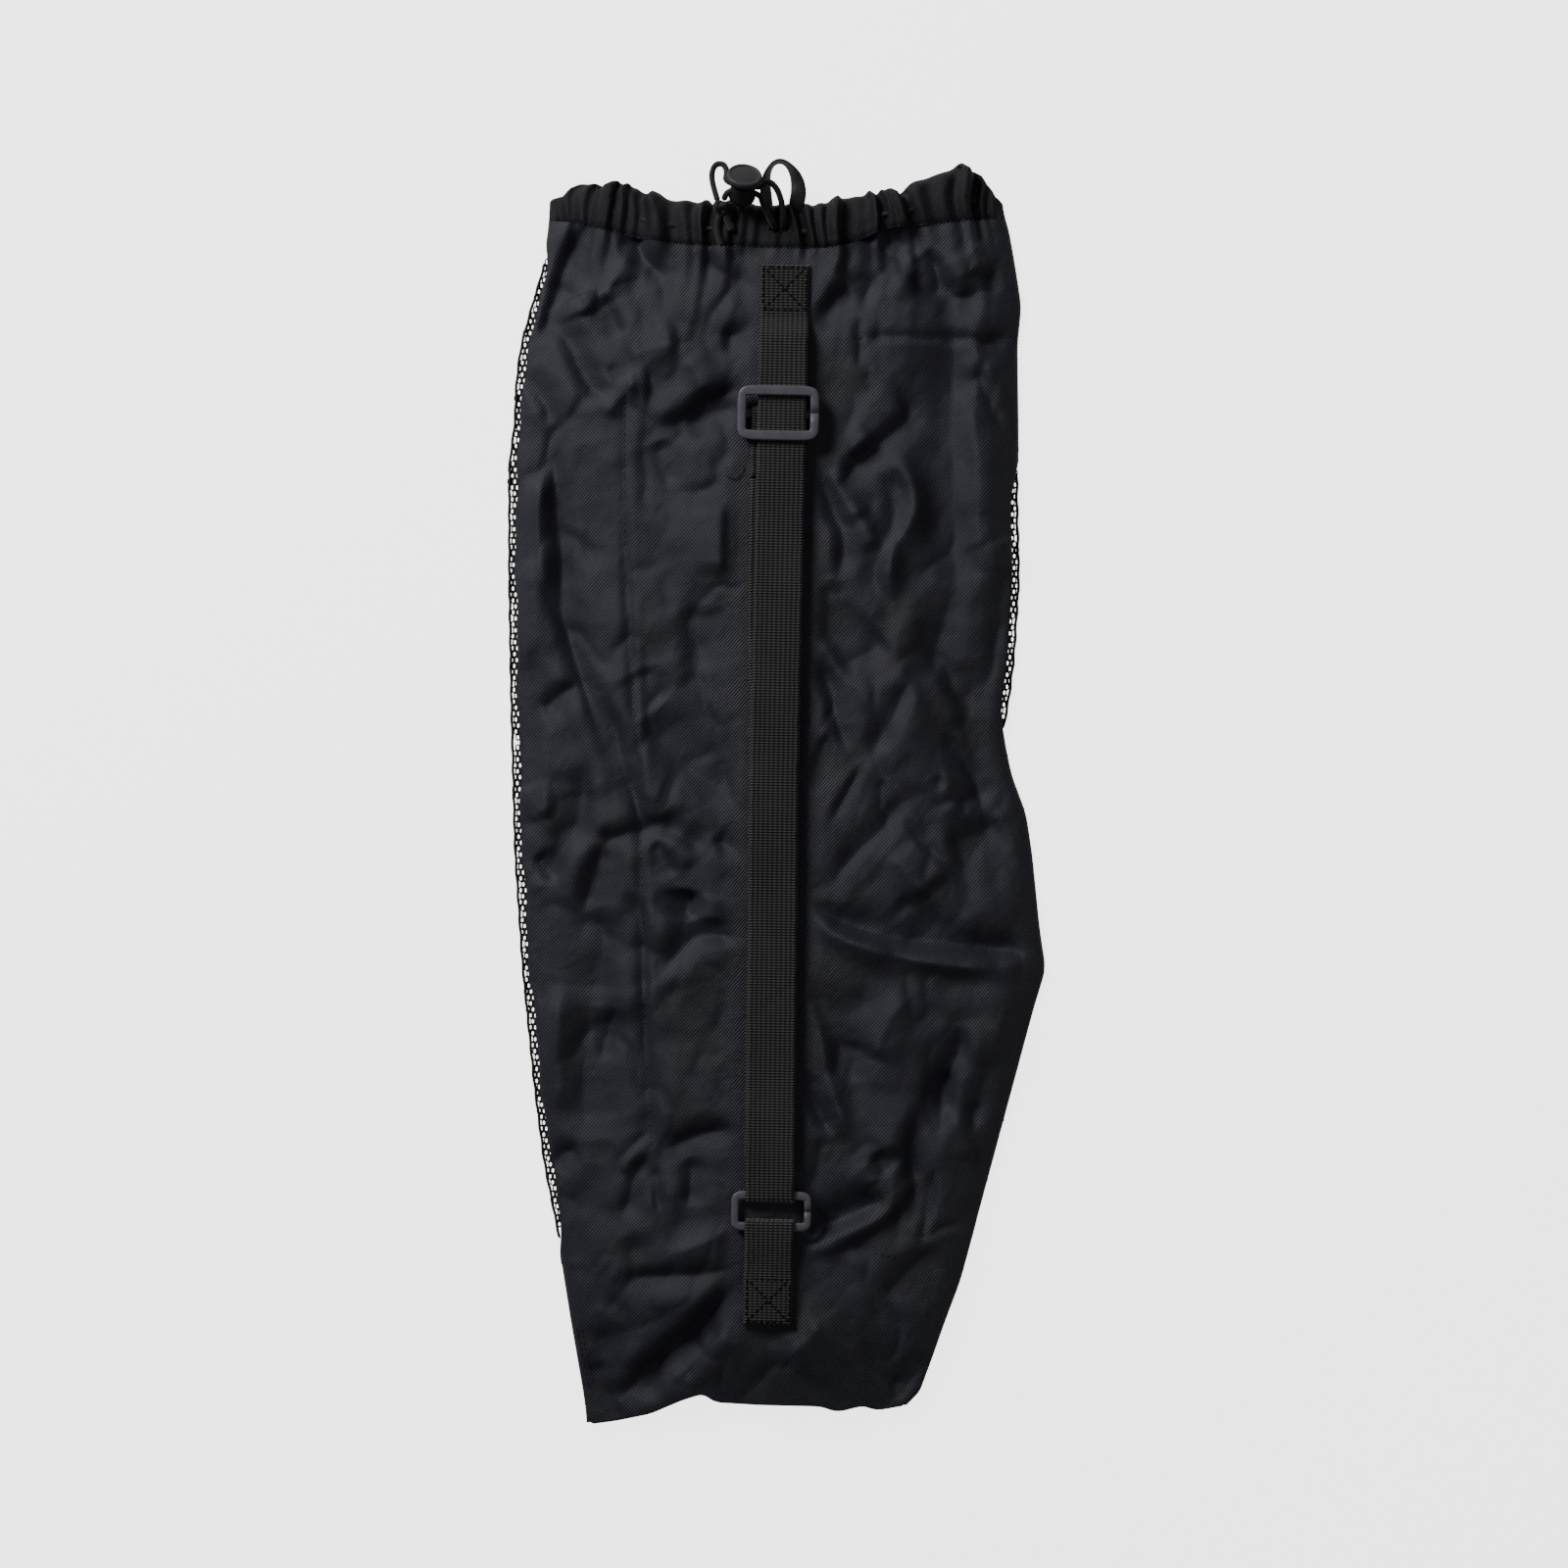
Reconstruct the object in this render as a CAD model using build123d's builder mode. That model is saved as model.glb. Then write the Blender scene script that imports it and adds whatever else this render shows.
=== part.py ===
"""A drawstring carry bag for rolled equipment, lying flat and empty on its mesh back.

Millimetres. +X is the bag's right, +Y runs from the base to the mouth, +Z is up, away from the
surface that the bag lies on. The origin is the middle of the outline, on that surface.
"""
from build123d import *
import math
import os

os.makedirs("parts", exist_ok=True)

# ---- driving dimensions: the cloth body ----
body_length = 652.0        # from the lowest corner of the base to the highest ruffle of the mouth
body_width = 283.0         # widest place, laid flat
crown_z = 17.0             # height of the front cloth above the surface
cloth_t = 1.2              # sewn twill with its lining
mesh_t = 0.8               # back mesh
base_t = 2.4               # folded base disc, two layers
base_radius = 88.0         # of the base disc
lap = 0.3                  # clearance between cloth layers, and between bodies

# ---- driving dimensions: the drawstring mouth ----
casing_depth = 20.0        # from the casing seam to the channel's far side
casing_wall = 0.8
channel_h = 3.6
cord_d = 3.2
slit_w = 11.0
slit_depth = 9.0

# ---- driving dimensions: the shoulder strap ----
strap_w = 25.0
strap_t = 1.0
strap_x = 0.6              # middle of the strap
anchor_offset = 0.9        # of the lower anchor, to the right of the strap
strap_top_gap = 11.3       # from the casing seam to the strap's upper sewn end
anchor_gap = 41.5          # from the base's edge to the lower sewn end
box_margin = 1.5           # from the webbing's edge to the sewn square
box_stitch = strap_w - 2 * box_margin
thread_w = 0.7
thread_h = 0.35

# ---- driving dimensions: slider and ring ----
slider_gap = 76.7          # from the strap's upper end to the slider's middle
slider_offset = 2.0        # the slider and the layer under the strap sit to the left by this much
slider_len = 28.0
window_fit = 4.25          # beside the strap in the slider's window
window_w = strap_w + 2 * window_fit
slider_side = 4.25         # width of a side bar
slider_w = window_w + 2 * slider_side
slider_bar = 4.6           # width of an outer bar
slider_bar_t = 2.2
centre_bar_w = 4.6
centre_bar_t = 1.8
wrap_len = 33.0            # sewn-back end of the strap at the slider
ring_gap = 58.5            # from the lower sewn end to the ring's middle
ring_x = 2.4
ring_fit = 4.3             # beside the strap in the ring
ring_side = 3.7
ring_w = strap_w + 2 * ring_fit + 2 * ring_side
ring_len = 21.0
ring_t = 2.6
ring_bar = 4.8
ring_wrap_len = 24.0       # of the strap that turns with the ring

# ---- driving dimensions: the cord lock ----
lock_top = (-20.8, 315.4)  # middle of the button's face, in plan
lock_tilt = 44.0
lock_turn = -8.0
lock_len = 17.4
button_r = 8.9
button_t = 2.5
barrel_r = 6.7
barrel_foot_r = 4.4
barrel_foot_h = 2.6
barrel_h = 11.6
barrel_wall = 1.1
stem_fit = 0.3
stem_foot = 5.6            # height of the stem's lower end in the lock
press_travel = 3.0
eye_z = 8.8                # height of the cord holes in the lock
cord_pitch = 3.6           # between the two strands in the lock
cord_fit = 0.35
grip_gap = 0.15            # between the button's eye and the cords
spring_r = 2.3
spring_wire = 0.5
spring_turns = 1.5

# ---- driving dimensions: the hang loop ----
ribbon_w = 8.5
ribbon_t = 1.3
loop_x = -2.0
loop_half_w = 10.6
loop_height = 22.0
loop_sink = 6.8            # the ribbon's lower edge, below the casing's upper face

half_len = body_length / 2
half_w = body_width / 2

# Stations of the outline, base to mouth: place along the length, left edge, right edge and crown,
# as shares of the half length, the half width and the crown height.
STATIONS = [
    (-0.963, -0.655, 0.560, 0.44),
    (-0.890, -0.680, 0.640, 0.72),
    (-0.770, -0.732, 0.706, 1.0),
    (-0.521, -0.841, 0.860, 1.0),
    (-0.270, -0.915, 1.000, 1.0),
    (-0.030, -0.962, 0.922, 1.0),
    (0.153, -0.976, 0.858, 1.0),
    (0.347, -0.990, 0.882, 1.0),
    (0.520, -1.000, 0.864, 1.0),
    (0.690, -0.965, 0.862, 1.0),
    (0.780, -0.916, 0.868, 1.0),
    (0.868, -0.866, 0.832, 1.0),
]
seam_y = STATIONS[-1][0] * half_len        # casing seam
base_y = STATIONS[0][0] * half_len         # front panel's lower edge
fold_end = base_y + base_radius            # where the folded base ends under the bag
fold_step = 12.0                           # length over which the layers come down off it
strap_top_y = seam_y - strap_top_gap
slider_y = strap_top_y - slider_gap
anchor_bottom_y = base_y + anchor_gap
ring_y = anchor_bottom_y + ring_gap
casing_left = STATIONS[-1][1] * half_w
casing_right = STATIONS[-1][2] * half_w

# The mouth's ruffled edge, left to right: across as a share of the casing's width, then height
# above the casing seam in millimetres.
RUFFLES = [
    (0.00, 20.0), (0.06, 31.0), (0.12, 29.5), (0.18, 27.5), (0.26, 22.5), (0.34, 21.0),
    (0.56, 20.0), (0.64, 26.0), (0.76, 27.5), (0.84, 35.0), (0.90, 43.0), (0.94, 41.5), (1.00, 22.0),
]
ruffle_top = max(rise for _, rise in RUFFLES)


# The domed layers' section, from an edge inwards: share of the width, share of the height.
DOME = [(0.0, 0.0), (0.055, 0.50), (0.15, 0.84), (0.30, 0.985)]


def base_rise(y):
    """Height of the lower cloth layer: it steps up over the folded base."""
    low = lap + mesh_t
    if y >= fold_end + fold_step:
        return low
    if y <= fold_end:
        return low + base_t
    return low + base_t * (fold_end + fold_step - y) / fold_step


def station_at(y):
    """A station between two listed ones, on the straight line between them."""
    share = y / half_len
    for low, high in zip(STATIONS, STATIONS[1:]):
        if low[0] <= share <= high[0]:
            part_way = (share - low[0]) / (high[0] - low[0])
            return tuple(a + (b - a) * part_way for a, b in zip(low, high))
    return STATIONS[0]


ROWS = sorted(STATIONS + [station_at(fold_end), station_at(fold_end + fold_step)])


def crescent(station, inset, thickness):
    """Face of a domed layer at one station, `inset` below the outside and `thickness` deep."""
    share_y, share_left, share_right, share_crown = station
    y = share_y * half_len
    foot = base_rise(y) + lap
    rise = crown_z * share_crown - foot

    def dome(depth):
        left = share_left * half_w + depth * 2.4
        right = share_right * half_w - depth * 2.4
        span = right - left
        height = rise - depth
        rising = [(left + span * share, foot + height * climb) for share, climb in DOME]
        falling = [(right - span * share, foot + height * climb) for share, climb in DOME]
        return rising + [((left + right) / 2, foot + height)] + falling[::-1]

    outer = dome(inset)
    inner = dome(inset + thickness)
    with BuildSketch(Plane.XZ.offset(-y)) as face:
        with BuildLine():
            Spline(*outer)
            Line(outer[-1], inner[-1])
            Spline(*reversed(inner))
            Line(inner[0], outer[0])
        make_face()
    return face.sketch


def outline(inset_left, inset_right, first, last):
    """Points of the flat outline between two stations, going up the left and down the right."""
    rows = ROWS[first:last]
    left = [(s[1] * half_w + inset_left, s[0] * half_len) for s in rows]
    right = [(s[2] * half_w - inset_right, s[0] * half_len) for s in rows]
    return left + right[::-1]


def side_strip(side, near, far):
    """Points of a strip that follows one side of the outline, between two insets."""
    column = 1 if side < 0 else 2
    rows = ROWS[1:]
    outer = [(s[column] * half_w - side * near, s[0] * half_len) for s in rows]
    inner = [(s[column] * half_w - side * far, s[0] * half_len) for s in rows]
    return outer + inner[::-1]


def bend_radii(points):
    """Radius of each bend of a cord's route: as large as its two runs allow."""
    radii = []
    for before, here, after in zip(points, points[1:], points[2:]):
        run_in = Vector(*here) - Vector(*before)
        run_out = Vector(*after) - Vector(*here)
        half_turn = math.radians(run_in.get_angle(run_out)) / 2
        radii.append(0.45 * min(run_in.length, run_out.length) / math.tan(half_turn))
    return radii


def web(points, width, x):
    """A flat strap that follows points in the YZ plane, `width` across, centred on `x`."""
    with BuildPart() as strap:
        with BuildSketch(Plane.YZ.offset(x)):
            with BuildLine() as path:
                Polyline(*points)
            trace(path.line, strap_t)
        extrude(amount=width / 2, both=True)
    return strap.part


def finish(piece, label):
    """Name a piece and write it."""
    piece.label = label
    export_step(piece, f"parts/{label}.step")


# ---- cloth body ----
with BuildPart() as front_panel:
    loft([crescent(row, 0, cloth_t) for row in ROWS], ruled=True)
finish(front_panel.part, "front_panel")

pocket_left = -0.53 * half_w
pocket_right = 0.44 * half_w
pocket_low = -0.58 * half_len
pocket_high = 0.67 * half_len
with BuildPart() as inner_pocket:
    loft([crescent(row, cloth_t + lap, cloth_t / 2) for row in ROWS[2:-1]], ruled=True)
    with BuildSketch(Plane.XY):
        with Locations(((pocket_left + pocket_right) / 2, (pocket_low + pocket_high) / 2)):
            Rectangle(pocket_right - pocket_left, pocket_high - pocket_low)
    extrude(amount=crown_z, mode=Mode.INTERSECT)
finish(inner_pocket.part, "inner_pocket")


def stepped_layer(low, high):
    """A layer over the whole bag that steps up over the folded base."""
    knees = [base_y - 1, fold_end, fold_end + fold_step, half_len]
    lower = [(y, base_rise(y) + low) for y in knees]
    upper = [(y, base_rise(y) + high) for y in knees]
    with BuildPart() as layer:
        with BuildSketch(Plane.YZ.offset(-half_w - 1)):
            Polygon(*(lower + upper[::-1]), align=None)
        extrude(amount=body_width + 2)
    return layer.part


with BuildPart() as back_mesh_panel:
    with BuildSketch(Plane.XY):
        Polygon(*outline(0, 2.0, 0, len(ROWS)), align=None)
    extrude(amount=crown_z)
    add(stepped_layer(-mesh_t, 0), mode=Mode.INTERSECT)
finish(back_mesh_panel.part, "back_mesh_panel")

corner_left = (-0.648 * half_w, -half_len)
corner_right = (0.555 * half_w, base_y + 1.0)
with BuildPart() as base_panel:
    with BuildSketch(Plane.XY):
        with BuildLine():
            Polyline(corner_left, (-0.30 * half_w, base_y - 2.0), corner_right)
            ThreePointArc(corner_right, (-0.035 * half_w, base_y + base_radius - 2.0), corner_left)
        make_face()
    extrude(amount=base_t)
finish(base_panel.part, "base_panel")

for side, label in ((-1, "left_seam_allowance"), (1, "right_seam_allowance")):
    with BuildPart() as allowance:
        with BuildSketch(Plane.XY):
            Polygon(*side_strip(side, 9.0, 15.0), align=None)
        extrude(amount=crown_z)
        add(stepped_layer(lap / 2, lap / 2 + cloth_t), mode=Mode.INTERSECT)
    finish(allowance.part, label)

# ---- mouth: casing, slit, drawstring in its channel ----
casing_w = casing_right - casing_left
casing_x = (casing_left + casing_right) / 2
casing_low = seam_y + lap
ring_wall = 2 * casing_wall + channel_h
channel_low = casing_low + casing_wall * 2
channel_high = casing_low + casing_depth - casing_wall * 3
cord_line_y = channel_low + channel_h * 1.6
slit_x = -3.0


def flat_ring(inset):
    """Slot-shaped section of the casing, `inset` inside its outer face."""
    SlotOverall(casing_w - 2 * inset, crown_z - 2 * inset)


with BuildPart() as drawstring_casing:
    with BuildSketch(Plane.XZ.offset(-casing_low)):
        with Locations((casing_x, crown_z / 2)):
            flat_ring(0)
    extrude(amount=-(ruffle_top + 1))
    with BuildSketch(Plane.XZ.offset(-casing_low + 1)):
        with Locations((casing_x, crown_z / 2)):
            flat_ring(ring_wall)
    extrude(amount=-(ruffle_top + 4), mode=Mode.SUBTRACT)
    with BuildSketch(Plane.XZ.offset(-channel_low)):
        with Locations((casing_x, crown_z / 2)):
            flat_ring(casing_wall)
            SlotOverall(
                casing_w - 2 * (casing_wall + channel_h),
                crown_z - 2 * (casing_wall + channel_h),
                mode=Mode.SUBTRACT,
            )
    extrude(amount=-(channel_high - channel_low), mode=Mode.SUBTRACT)
    with BuildSketch(Plane.XY.offset(crown_z - casing_wall * 2)):
        with Locations((slit_x, cord_line_y)):
            RectangleRounded(slit_w, slit_depth, slit_depth / 3)
    extrude(amount=casing_wall * 3, mode=Mode.SUBTRACT)
    with BuildSketch(Plane.XY.offset(-1)):
        with BuildLine():
            Polyline(*[(casing_left + share * casing_w, seam_y + rise) for share, rise in RUFFLES])
            Polyline(
                (casing_right, seam_y + RUFFLES[-1][1]),
                (casing_right + 9, seam_y + RUFFLES[-1][1]),
                (casing_right + 9, half_len + 9),
                (casing_left - 9, half_len + 9),
                (casing_left - 9, seam_y + RUFFLES[0][1]),
                (casing_left, seam_y + RUFFLES[0][1]),
            )
        make_face()
    extrude(amount=crown_z + 2, mode=Mode.SUBTRACT)
finish(drawstring_casing.part, "drawstring_casing")

with BuildPart() as casing_stitching:
    with BuildSketch(Plane.XY.offset(crown_z)):
        with Locations((casing_x, casing_low + casing_wall)):
            Rectangle(casing_w - crown_z, thread_w)
    extrude(amount=thread_h)
finish(casing_stitching.part, "casing_stitching")

cord_inset = casing_wall + channel_h / 2
turn_r = crown_z / 2 - cord_inset
line_top = crown_z - cord_inset
line_low = cord_inset
turn_left = casing_left + crown_z / 2
turn_right = casing_right - crown_z / 2
exit_gap = cord_d + 2.6
with BuildPart() as drawstring:
    with BuildLine(Plane.XZ.offset(-cord_line_y)) as cord_line:
        Line((slit_x + exit_gap, line_top), (turn_right, line_top))
        ThreePointArc((turn_right, line_top), (turn_right + turn_r, crown_z / 2), (turn_right, line_low))
        Line((turn_right, line_low), (turn_left, line_low))
        ThreePointArc((turn_left, line_low), (turn_left - turn_r, crown_z / 2), (turn_left, line_top))
        Line((turn_left, line_top), (slit_x - exit_gap, line_top))
    with BuildSketch(Plane.YZ.offset(slit_x + exit_gap)):
        with Locations((cord_line_y, line_top)):
            Circle(cord_d / 2)
    sweep(path=cord_line.line)
finish(drawstring.part, "drawstring")

# ---- shoulder strap, in layers above the crown ----
lower_z = crown_z + lap + strap_t / 2                    # middle of the layer on the bag
centre_bar_z = lower_z + strap_t / 2 + 0.1 + centre_bar_t / 2
ring_z = lower_z + strap_t / 2 + 0.7 + ring_t / 2
upper_z = ring_z + ring_t / 2 + 0.2 + strap_t / 2        # middle of the main strap
outer_bar_low = upper_z + strap_t / 2 + lap
slider_top = outer_bar_low + slider_bar_t
slider_low = centre_bar_z - centre_bar_t / 2
box_low_y = strap_top_y - box_stitch - 3.0
strap_step = 14.0
ring_top_bar_y = ring_y + ring_len / 2 - ring_bar / 2
ring_low_bar_y = ring_y - ring_len / 2 + ring_bar / 2
wrap_end_y = ring_top_bar_y + ring_wrap_len - ring_bar

finish(
    web(
        [
            (strap_top_y, lower_z),
            (box_low_y, lower_z),
            (box_low_y - strap_step, upper_z),
            (wrap_end_y + lap, upper_z),
        ],
        strap_w,
        strap_x,
    ),
    "shoulder_strap",
)

wrap_low_y = slider_y - wrap_len
finish(
    web([(wrap_low_y - lap, lower_z), (wrap_end_y + lap, lower_z)], strap_w, strap_x - slider_offset),
    "strap_return_run",
)

turn_in = ring_top_bar_y - ring_bar / 2 - 0.3 - strap_t / 2
finish(
    web(
        [(wrap_end_y, upper_z), (turn_in, upper_z), (turn_in, lower_z), (wrap_end_y, lower_z)],
        strap_w,
        strap_x,
    ),
    "strap_ring_wrap",
)

anchor_turn = ring_low_bar_y + ring_bar / 2 + 0.5 + strap_t / 2
anchor_top_z = ring_z + ring_t / 2 + 0.8 + strap_t / 2
anchor_knee = anchor_bottom_y + box_stitch + 3.0
anchor_box_z = lower_z + strap_t + 0.1
finish(
    web(
        [
            (anchor_bottom_y, lower_z),
            (anchor_turn, lower_z),
            (anchor_turn, anchor_top_z),
            (ring_low_bar_y - ring_bar / 2, anchor_top_z),
            (anchor_knee, anchor_box_z),
            (anchor_bottom_y, anchor_box_z),
        ],
        strap_w,
        strap_x + anchor_offset,
    ),
    "lower_anchor_strap",
)


def box_stitching(x, y, z, side):
    """A sewn square with its cross, standing proud of the webbing by the thread's height."""
    half = side / 2
    with BuildPart() as stitching:
        with BuildSketch(Plane.XY.offset(z)):
            with BuildLine() as square:
                Polyline((x - half, y - half), (x + half, y - half), (x + half, y + half),
                         (x - half, y + half), close=True)
            trace(square.line, thread_w)
            with BuildLine() as rising:
                Line((x - half, y - half), (x + half, y + half))
            trace(rising.line, thread_w)
            with BuildLine() as falling:
                Line((x - half, y + half), (x + half, y - half))
            trace(falling.line, thread_w)
        extrude(amount=thread_h)
    return stitching.part


finish(
    box_stitching(strap_x, strap_top_y - box_margin - box_stitch / 2, lower_z + strap_t / 2, box_stitch),
    "top_anchor_stitching",
)
finish(
    box_stitching(
        strap_x + anchor_offset,
        anchor_bottom_y + box_margin + box_stitch / 2,
        anchor_box_z + strap_t / 2,
        box_stitch,
    ),
    "lower_anchor_stitching",
)

# ---- slider with the strap's sewn end ----
with BuildPart() as strap_slider:
    with BuildSketch(Plane.XY.offset(slider_low)):
        with Locations((strap_x - slider_offset, slider_y)):
            RectangleRounded(slider_w, slider_len, 3.5)
    extrude(amount=slider_top - slider_low)
    with BuildSketch(Plane.XY.offset(slider_low)):
        with Locations((strap_x - slider_offset, slider_y)):
            RectangleRounded(window_w, slider_len - 2 * slider_bar, 1.0)
    extrude(amount=slider_top - slider_low, mode=Mode.SUBTRACT)
    with BuildSketch(Plane.XY.offset(slider_low)):
        with Locations((strap_x - slider_offset, slider_y)):
            Rectangle(window_w, slider_len + 2)
    extrude(amount=outer_bar_low - slider_low, mode=Mode.SUBTRACT)
    with BuildSketch(Plane.XY.offset(slider_low)):
        with Locations((strap_x - slider_offset, slider_y)):
            Rectangle(window_w + 1, centre_bar_w)
    extrude(amount=centre_bar_t)
    rim = strap_slider.faces().sort_by(Axis.Z)[-1].outer_wire().edges()
    fillet(rim, 0.7)
finish(strap_slider.part, "strap_slider")

slider_turn = slider_y + centre_bar_w / 2 + 0.2 + strap_t / 2
wrap_top_z = centre_bar_z + centre_bar_t / 2 + 0.1 + strap_t / 2
finish(
    web(
        [
            (wrap_low_y, lower_z),
            (slider_turn, lower_z),
            (slider_turn, wrap_top_z),
            (wrap_low_y + 12, wrap_top_z),
            (wrap_low_y + 7, lower_z + strap_t + 0.1),
            (wrap_low_y + 1, lower_z + strap_t + 0.1),
        ],
        strap_w,
        strap_x - slider_offset,
    ),
    "strap_slider_wrap",
)
with BuildPart() as slider_wrap_stitching:
    with BuildSketch(Plane.XY.offset(lower_z + 1.5 * strap_t + 0.1)):
        with Locations((strap_x - slider_offset, wrap_low_y + 3.0), (strap_x - slider_offset, wrap_low_y + 5.2)):
            Rectangle(box_stitch, thread_w)
    extrude(amount=thread_h)
finish(slider_wrap_stitching.part, "slider_wrap_stitching")

# ---- lower ring ----
with BuildPart() as lower_ring:
    with BuildSketch(Plane.XY.offset(ring_z - ring_t / 2)):
        with Locations((ring_x, ring_y)):
            RectangleRounded(ring_w, ring_len, 3.0)
            RectangleRounded(ring_w - 2 * ring_side, ring_len - 2 * ring_bar, 1.2, mode=Mode.SUBTRACT)
    extrude(amount=ring_t)
    bars = lower_ring.edges().filter_by(GeomType.LINE).filter_by(Axis.X)
    fillet(bars, ring_t * 0.42)
finish(lower_ring.part, "lower_ring")

# ---- cord lock ----
tilt = math.radians(lock_tilt)
turn = math.radians(lock_turn)
axis = Vector(-math.sin(turn) * math.sin(tilt), math.cos(turn) * math.sin(tilt), math.cos(tilt))
across = Vector(math.cos(turn), math.sin(turn), 0)
lock_rest_z = crown_z + 0.9
foot = Vector(
    lock_top[0] - axis.X * lock_len,
    lock_top[1] - axis.Y * lock_len,
    lock_rest_z,
)
lock = Plane(origin=foot, x_dir=across, z_dir=axis)
side_way = axis.cross(across)
bore_r = barrel_r - barrel_wall
bore_floor = stem_foot - press_travel - 0.2
cap_low = lock_len - button_t
eye_w = cord_pitch + cord_d + 2 * cord_fit
eye_h = cord_d + 2 * cord_fit


def lock_level(height):
    """The lock's cross plane at a height above its foot."""
    return Plane(origin=foot + axis * height, x_dir=across, z_dir=axis)


def eye_cut(low, high):
    """The cords' way across the lock, between two heights."""
    with BuildPart() as way:
        with BuildSketch(lock_level(low)):
            Rectangle(4 * barrel_r, eye_w)
        extrude(amount=high - low)
    return way.part


with BuildPart() as cord_lock_barrel:
    with BuildSketch(lock):
        Circle(barrel_foot_r)
    with BuildSketch(lock_level(barrel_foot_h)):
        Circle(barrel_r)
    loft()
    with BuildSketch(lock_level(barrel_foot_h)):
        Circle(barrel_r)
    extrude(amount=barrel_h - barrel_foot_h)
    with BuildSketch(lock_level(bore_floor)):
        Circle(bore_r)
    extrude(amount=lock_len, mode=Mode.SUBTRACT)
    with BuildSketch(lock_level(1.0)):
        Circle(spring_r + spring_wire / 2 + 0.4)
    extrude(amount=bore_floor, mode=Mode.SUBTRACT)
    add(eye_cut(eye_z - eye_h / 2, eye_z + eye_h / 2), mode=Mode.SUBTRACT)
finish(cord_lock_barrel.part, "cord_lock_barrel")

with BuildPart() as cord_lock_button:
    with BuildSketch(lock_level(cap_low)):
        Circle(button_r)
    extrude(amount=button_t)
    fillet(cord_lock_button.edges().group_by(SortBy.LENGTH)[-1], 0.8)
    with BuildSketch(lock_level(stem_foot)):
        Circle(bore_r - stem_fit)
    extrude(amount=cap_low - stem_foot + 0.5)
    add(
        eye_cut(eye_z - cord_d / 2 - grip_gap, eye_z + cord_d / 2 + press_travel + grip_gap),
        mode=Mode.SUBTRACT,
    )
finish(cord_lock_button.part, "cord_lock_button")

spring_low = 1.0 + spring_wire / 2 + 0.05
spring_high = stem_foot - press_travel - spring_wire / 2 - 0.05   # its pressed length
with BuildPart() as cord_lock_spring:
    with BuildLine() as coil:
        Helix(
            pitch=(spring_high - spring_low) / spring_turns,
            height=spring_high - spring_low,
            radius=spring_r,
            center=foot + axis * spring_low,
            direction=axis,
        )
    with BuildSketch(Plane(coil.line @ 0, z_dir=coil.line % 0)):
        Circle(spring_wire / 2)
    sweep(path=coil.line, is_frenet=True)
finish(cord_lock_spring.part, "cord_lock_spring")

# ---- hang loop ----
loop_low_y = seam_y + casing_depth + 0.8
loop_z = crown_z - loop_sink
with BuildPart() as hang_loop:
    with BuildSketch(Plane.XY.offset(loop_z)):
        with Locations((loop_x, loop_low_y)):
            Ellipse(loop_half_w, loop_height)
            Ellipse(loop_half_w - ribbon_t, loop_height - ribbon_t, mode=Mode.SUBTRACT)
        with Locations((loop_x, loop_low_y - loop_height)):
            Rectangle(4 * loop_half_w, 2 * loop_height, mode=Mode.SUBTRACT)
    extrude(amount=ribbon_w)
finish(hang_loop.part, "hang_loop")

# ---- the two strands, their knot and tails ----
eye = foot + axis * eye_z
eye_near = eye - side_way * (cord_pitch / 2)
eye_far = eye + side_way * (cord_pitch / 2)


def along(point, distance):
    """A point on a strand's straight way through the lock."""
    place = point + across * distance
    return (place.X, place.Y, place.Z)


lay_z = crown_z + cord_d / 2 + lap
KNOT = (-32.4, 299.8, lay_z + 1.9)
knot_r = 4.2
STRAND_NEAR = [
    (-5.2, 290.4, 13.8),
    (-5.5, 291.6, 18.4),
    (-8.4, 296.4, 20.6),
    (-11.3, 301.9, 23.2),
    along(eye_near, 9.0),
    along(eye_near, -8.8),
    (-31.2, 303.2, 22.2),
]
STRAND_FAR = [
    (-0.9, 290.4, 13.8),
    (-0.7, 292.2, 18.3),
    (-0.9, 298.4, 20.0),
    (-2.0, 304.9, 20.3),
    (-4.6, 310.9, 20.6),
    (-9.0, 314.2, 21.5),
    along(eye_far, 8.6),
    along(eye_far, -9.6),
    (-29.8, 318.2, 20.3),
    (-31.6, 322.6, 19.2),
    (-36.3, 322.4, 18.5),
    (-38.1, 316.8, 18.3),
    (-36.6, 309.8, 19.0),
    (-34.4, 303.0, 20.6),
]
TAIL_NEAR = [
    (-30.6, 296.6, 20.0),
    (-29.2, 292.8, 19.1),
    (-26.2, 288.3, 18.95),
]
TAIL_FAR = [
    (-33.6, 296.3, 20.0),
    (-34.8, 291.0, 19.05),
    (-33.9, 285.4, 18.97),
    (-31.7, 280.2, 18.95),
]


def cord_tube(points, label):
    """A cord's plain tube along straight runs joined by tangent arcs."""
    radii = bend_radii(points)
    with BuildPart() as tube:
        with BuildLine() as route:
            FilletPolyline(*points, radius=radii)
        with BuildSketch(Plane(route.line @ 0, z_dir=route.line % 0)):
            Circle(cord_d / 2)
        sweep(path=route.line)
    length = sum(edge.length for edge in route.line.edges())
    ratio = tube.part.volume / (math.pi * cord_d**2 / 4 * length)
    print(label, "radii", [round(r, 1) for r in radii])
    print(label, "length", round(length, 1), "volume ratio", round(ratio, 4))
    finish(tube.part, label)


cord_tube(STRAND_NEAR, "drawstring_strand_near")
cord_tube(STRAND_FAR, "drawstring_strand_far")
cord_tube(TAIL_NEAR, "drawstring_tail_near")
cord_tube(TAIL_FAR, "drawstring_tail_far")

with BuildPart() as drawstring_knot:
    with Locations(KNOT):
        Sphere(knot_r)
    with BuildSketch(Plane.XY.offset(crown_z + lap)):
        with Locations((KNOT[0], KNOT[1])):
            Circle(knot_r + 1)
    extrude(amount=2 * knot_r + 2, mode=Mode.INTERSECT)
finish(drawstring_knot.part, "drawstring_knot")
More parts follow.
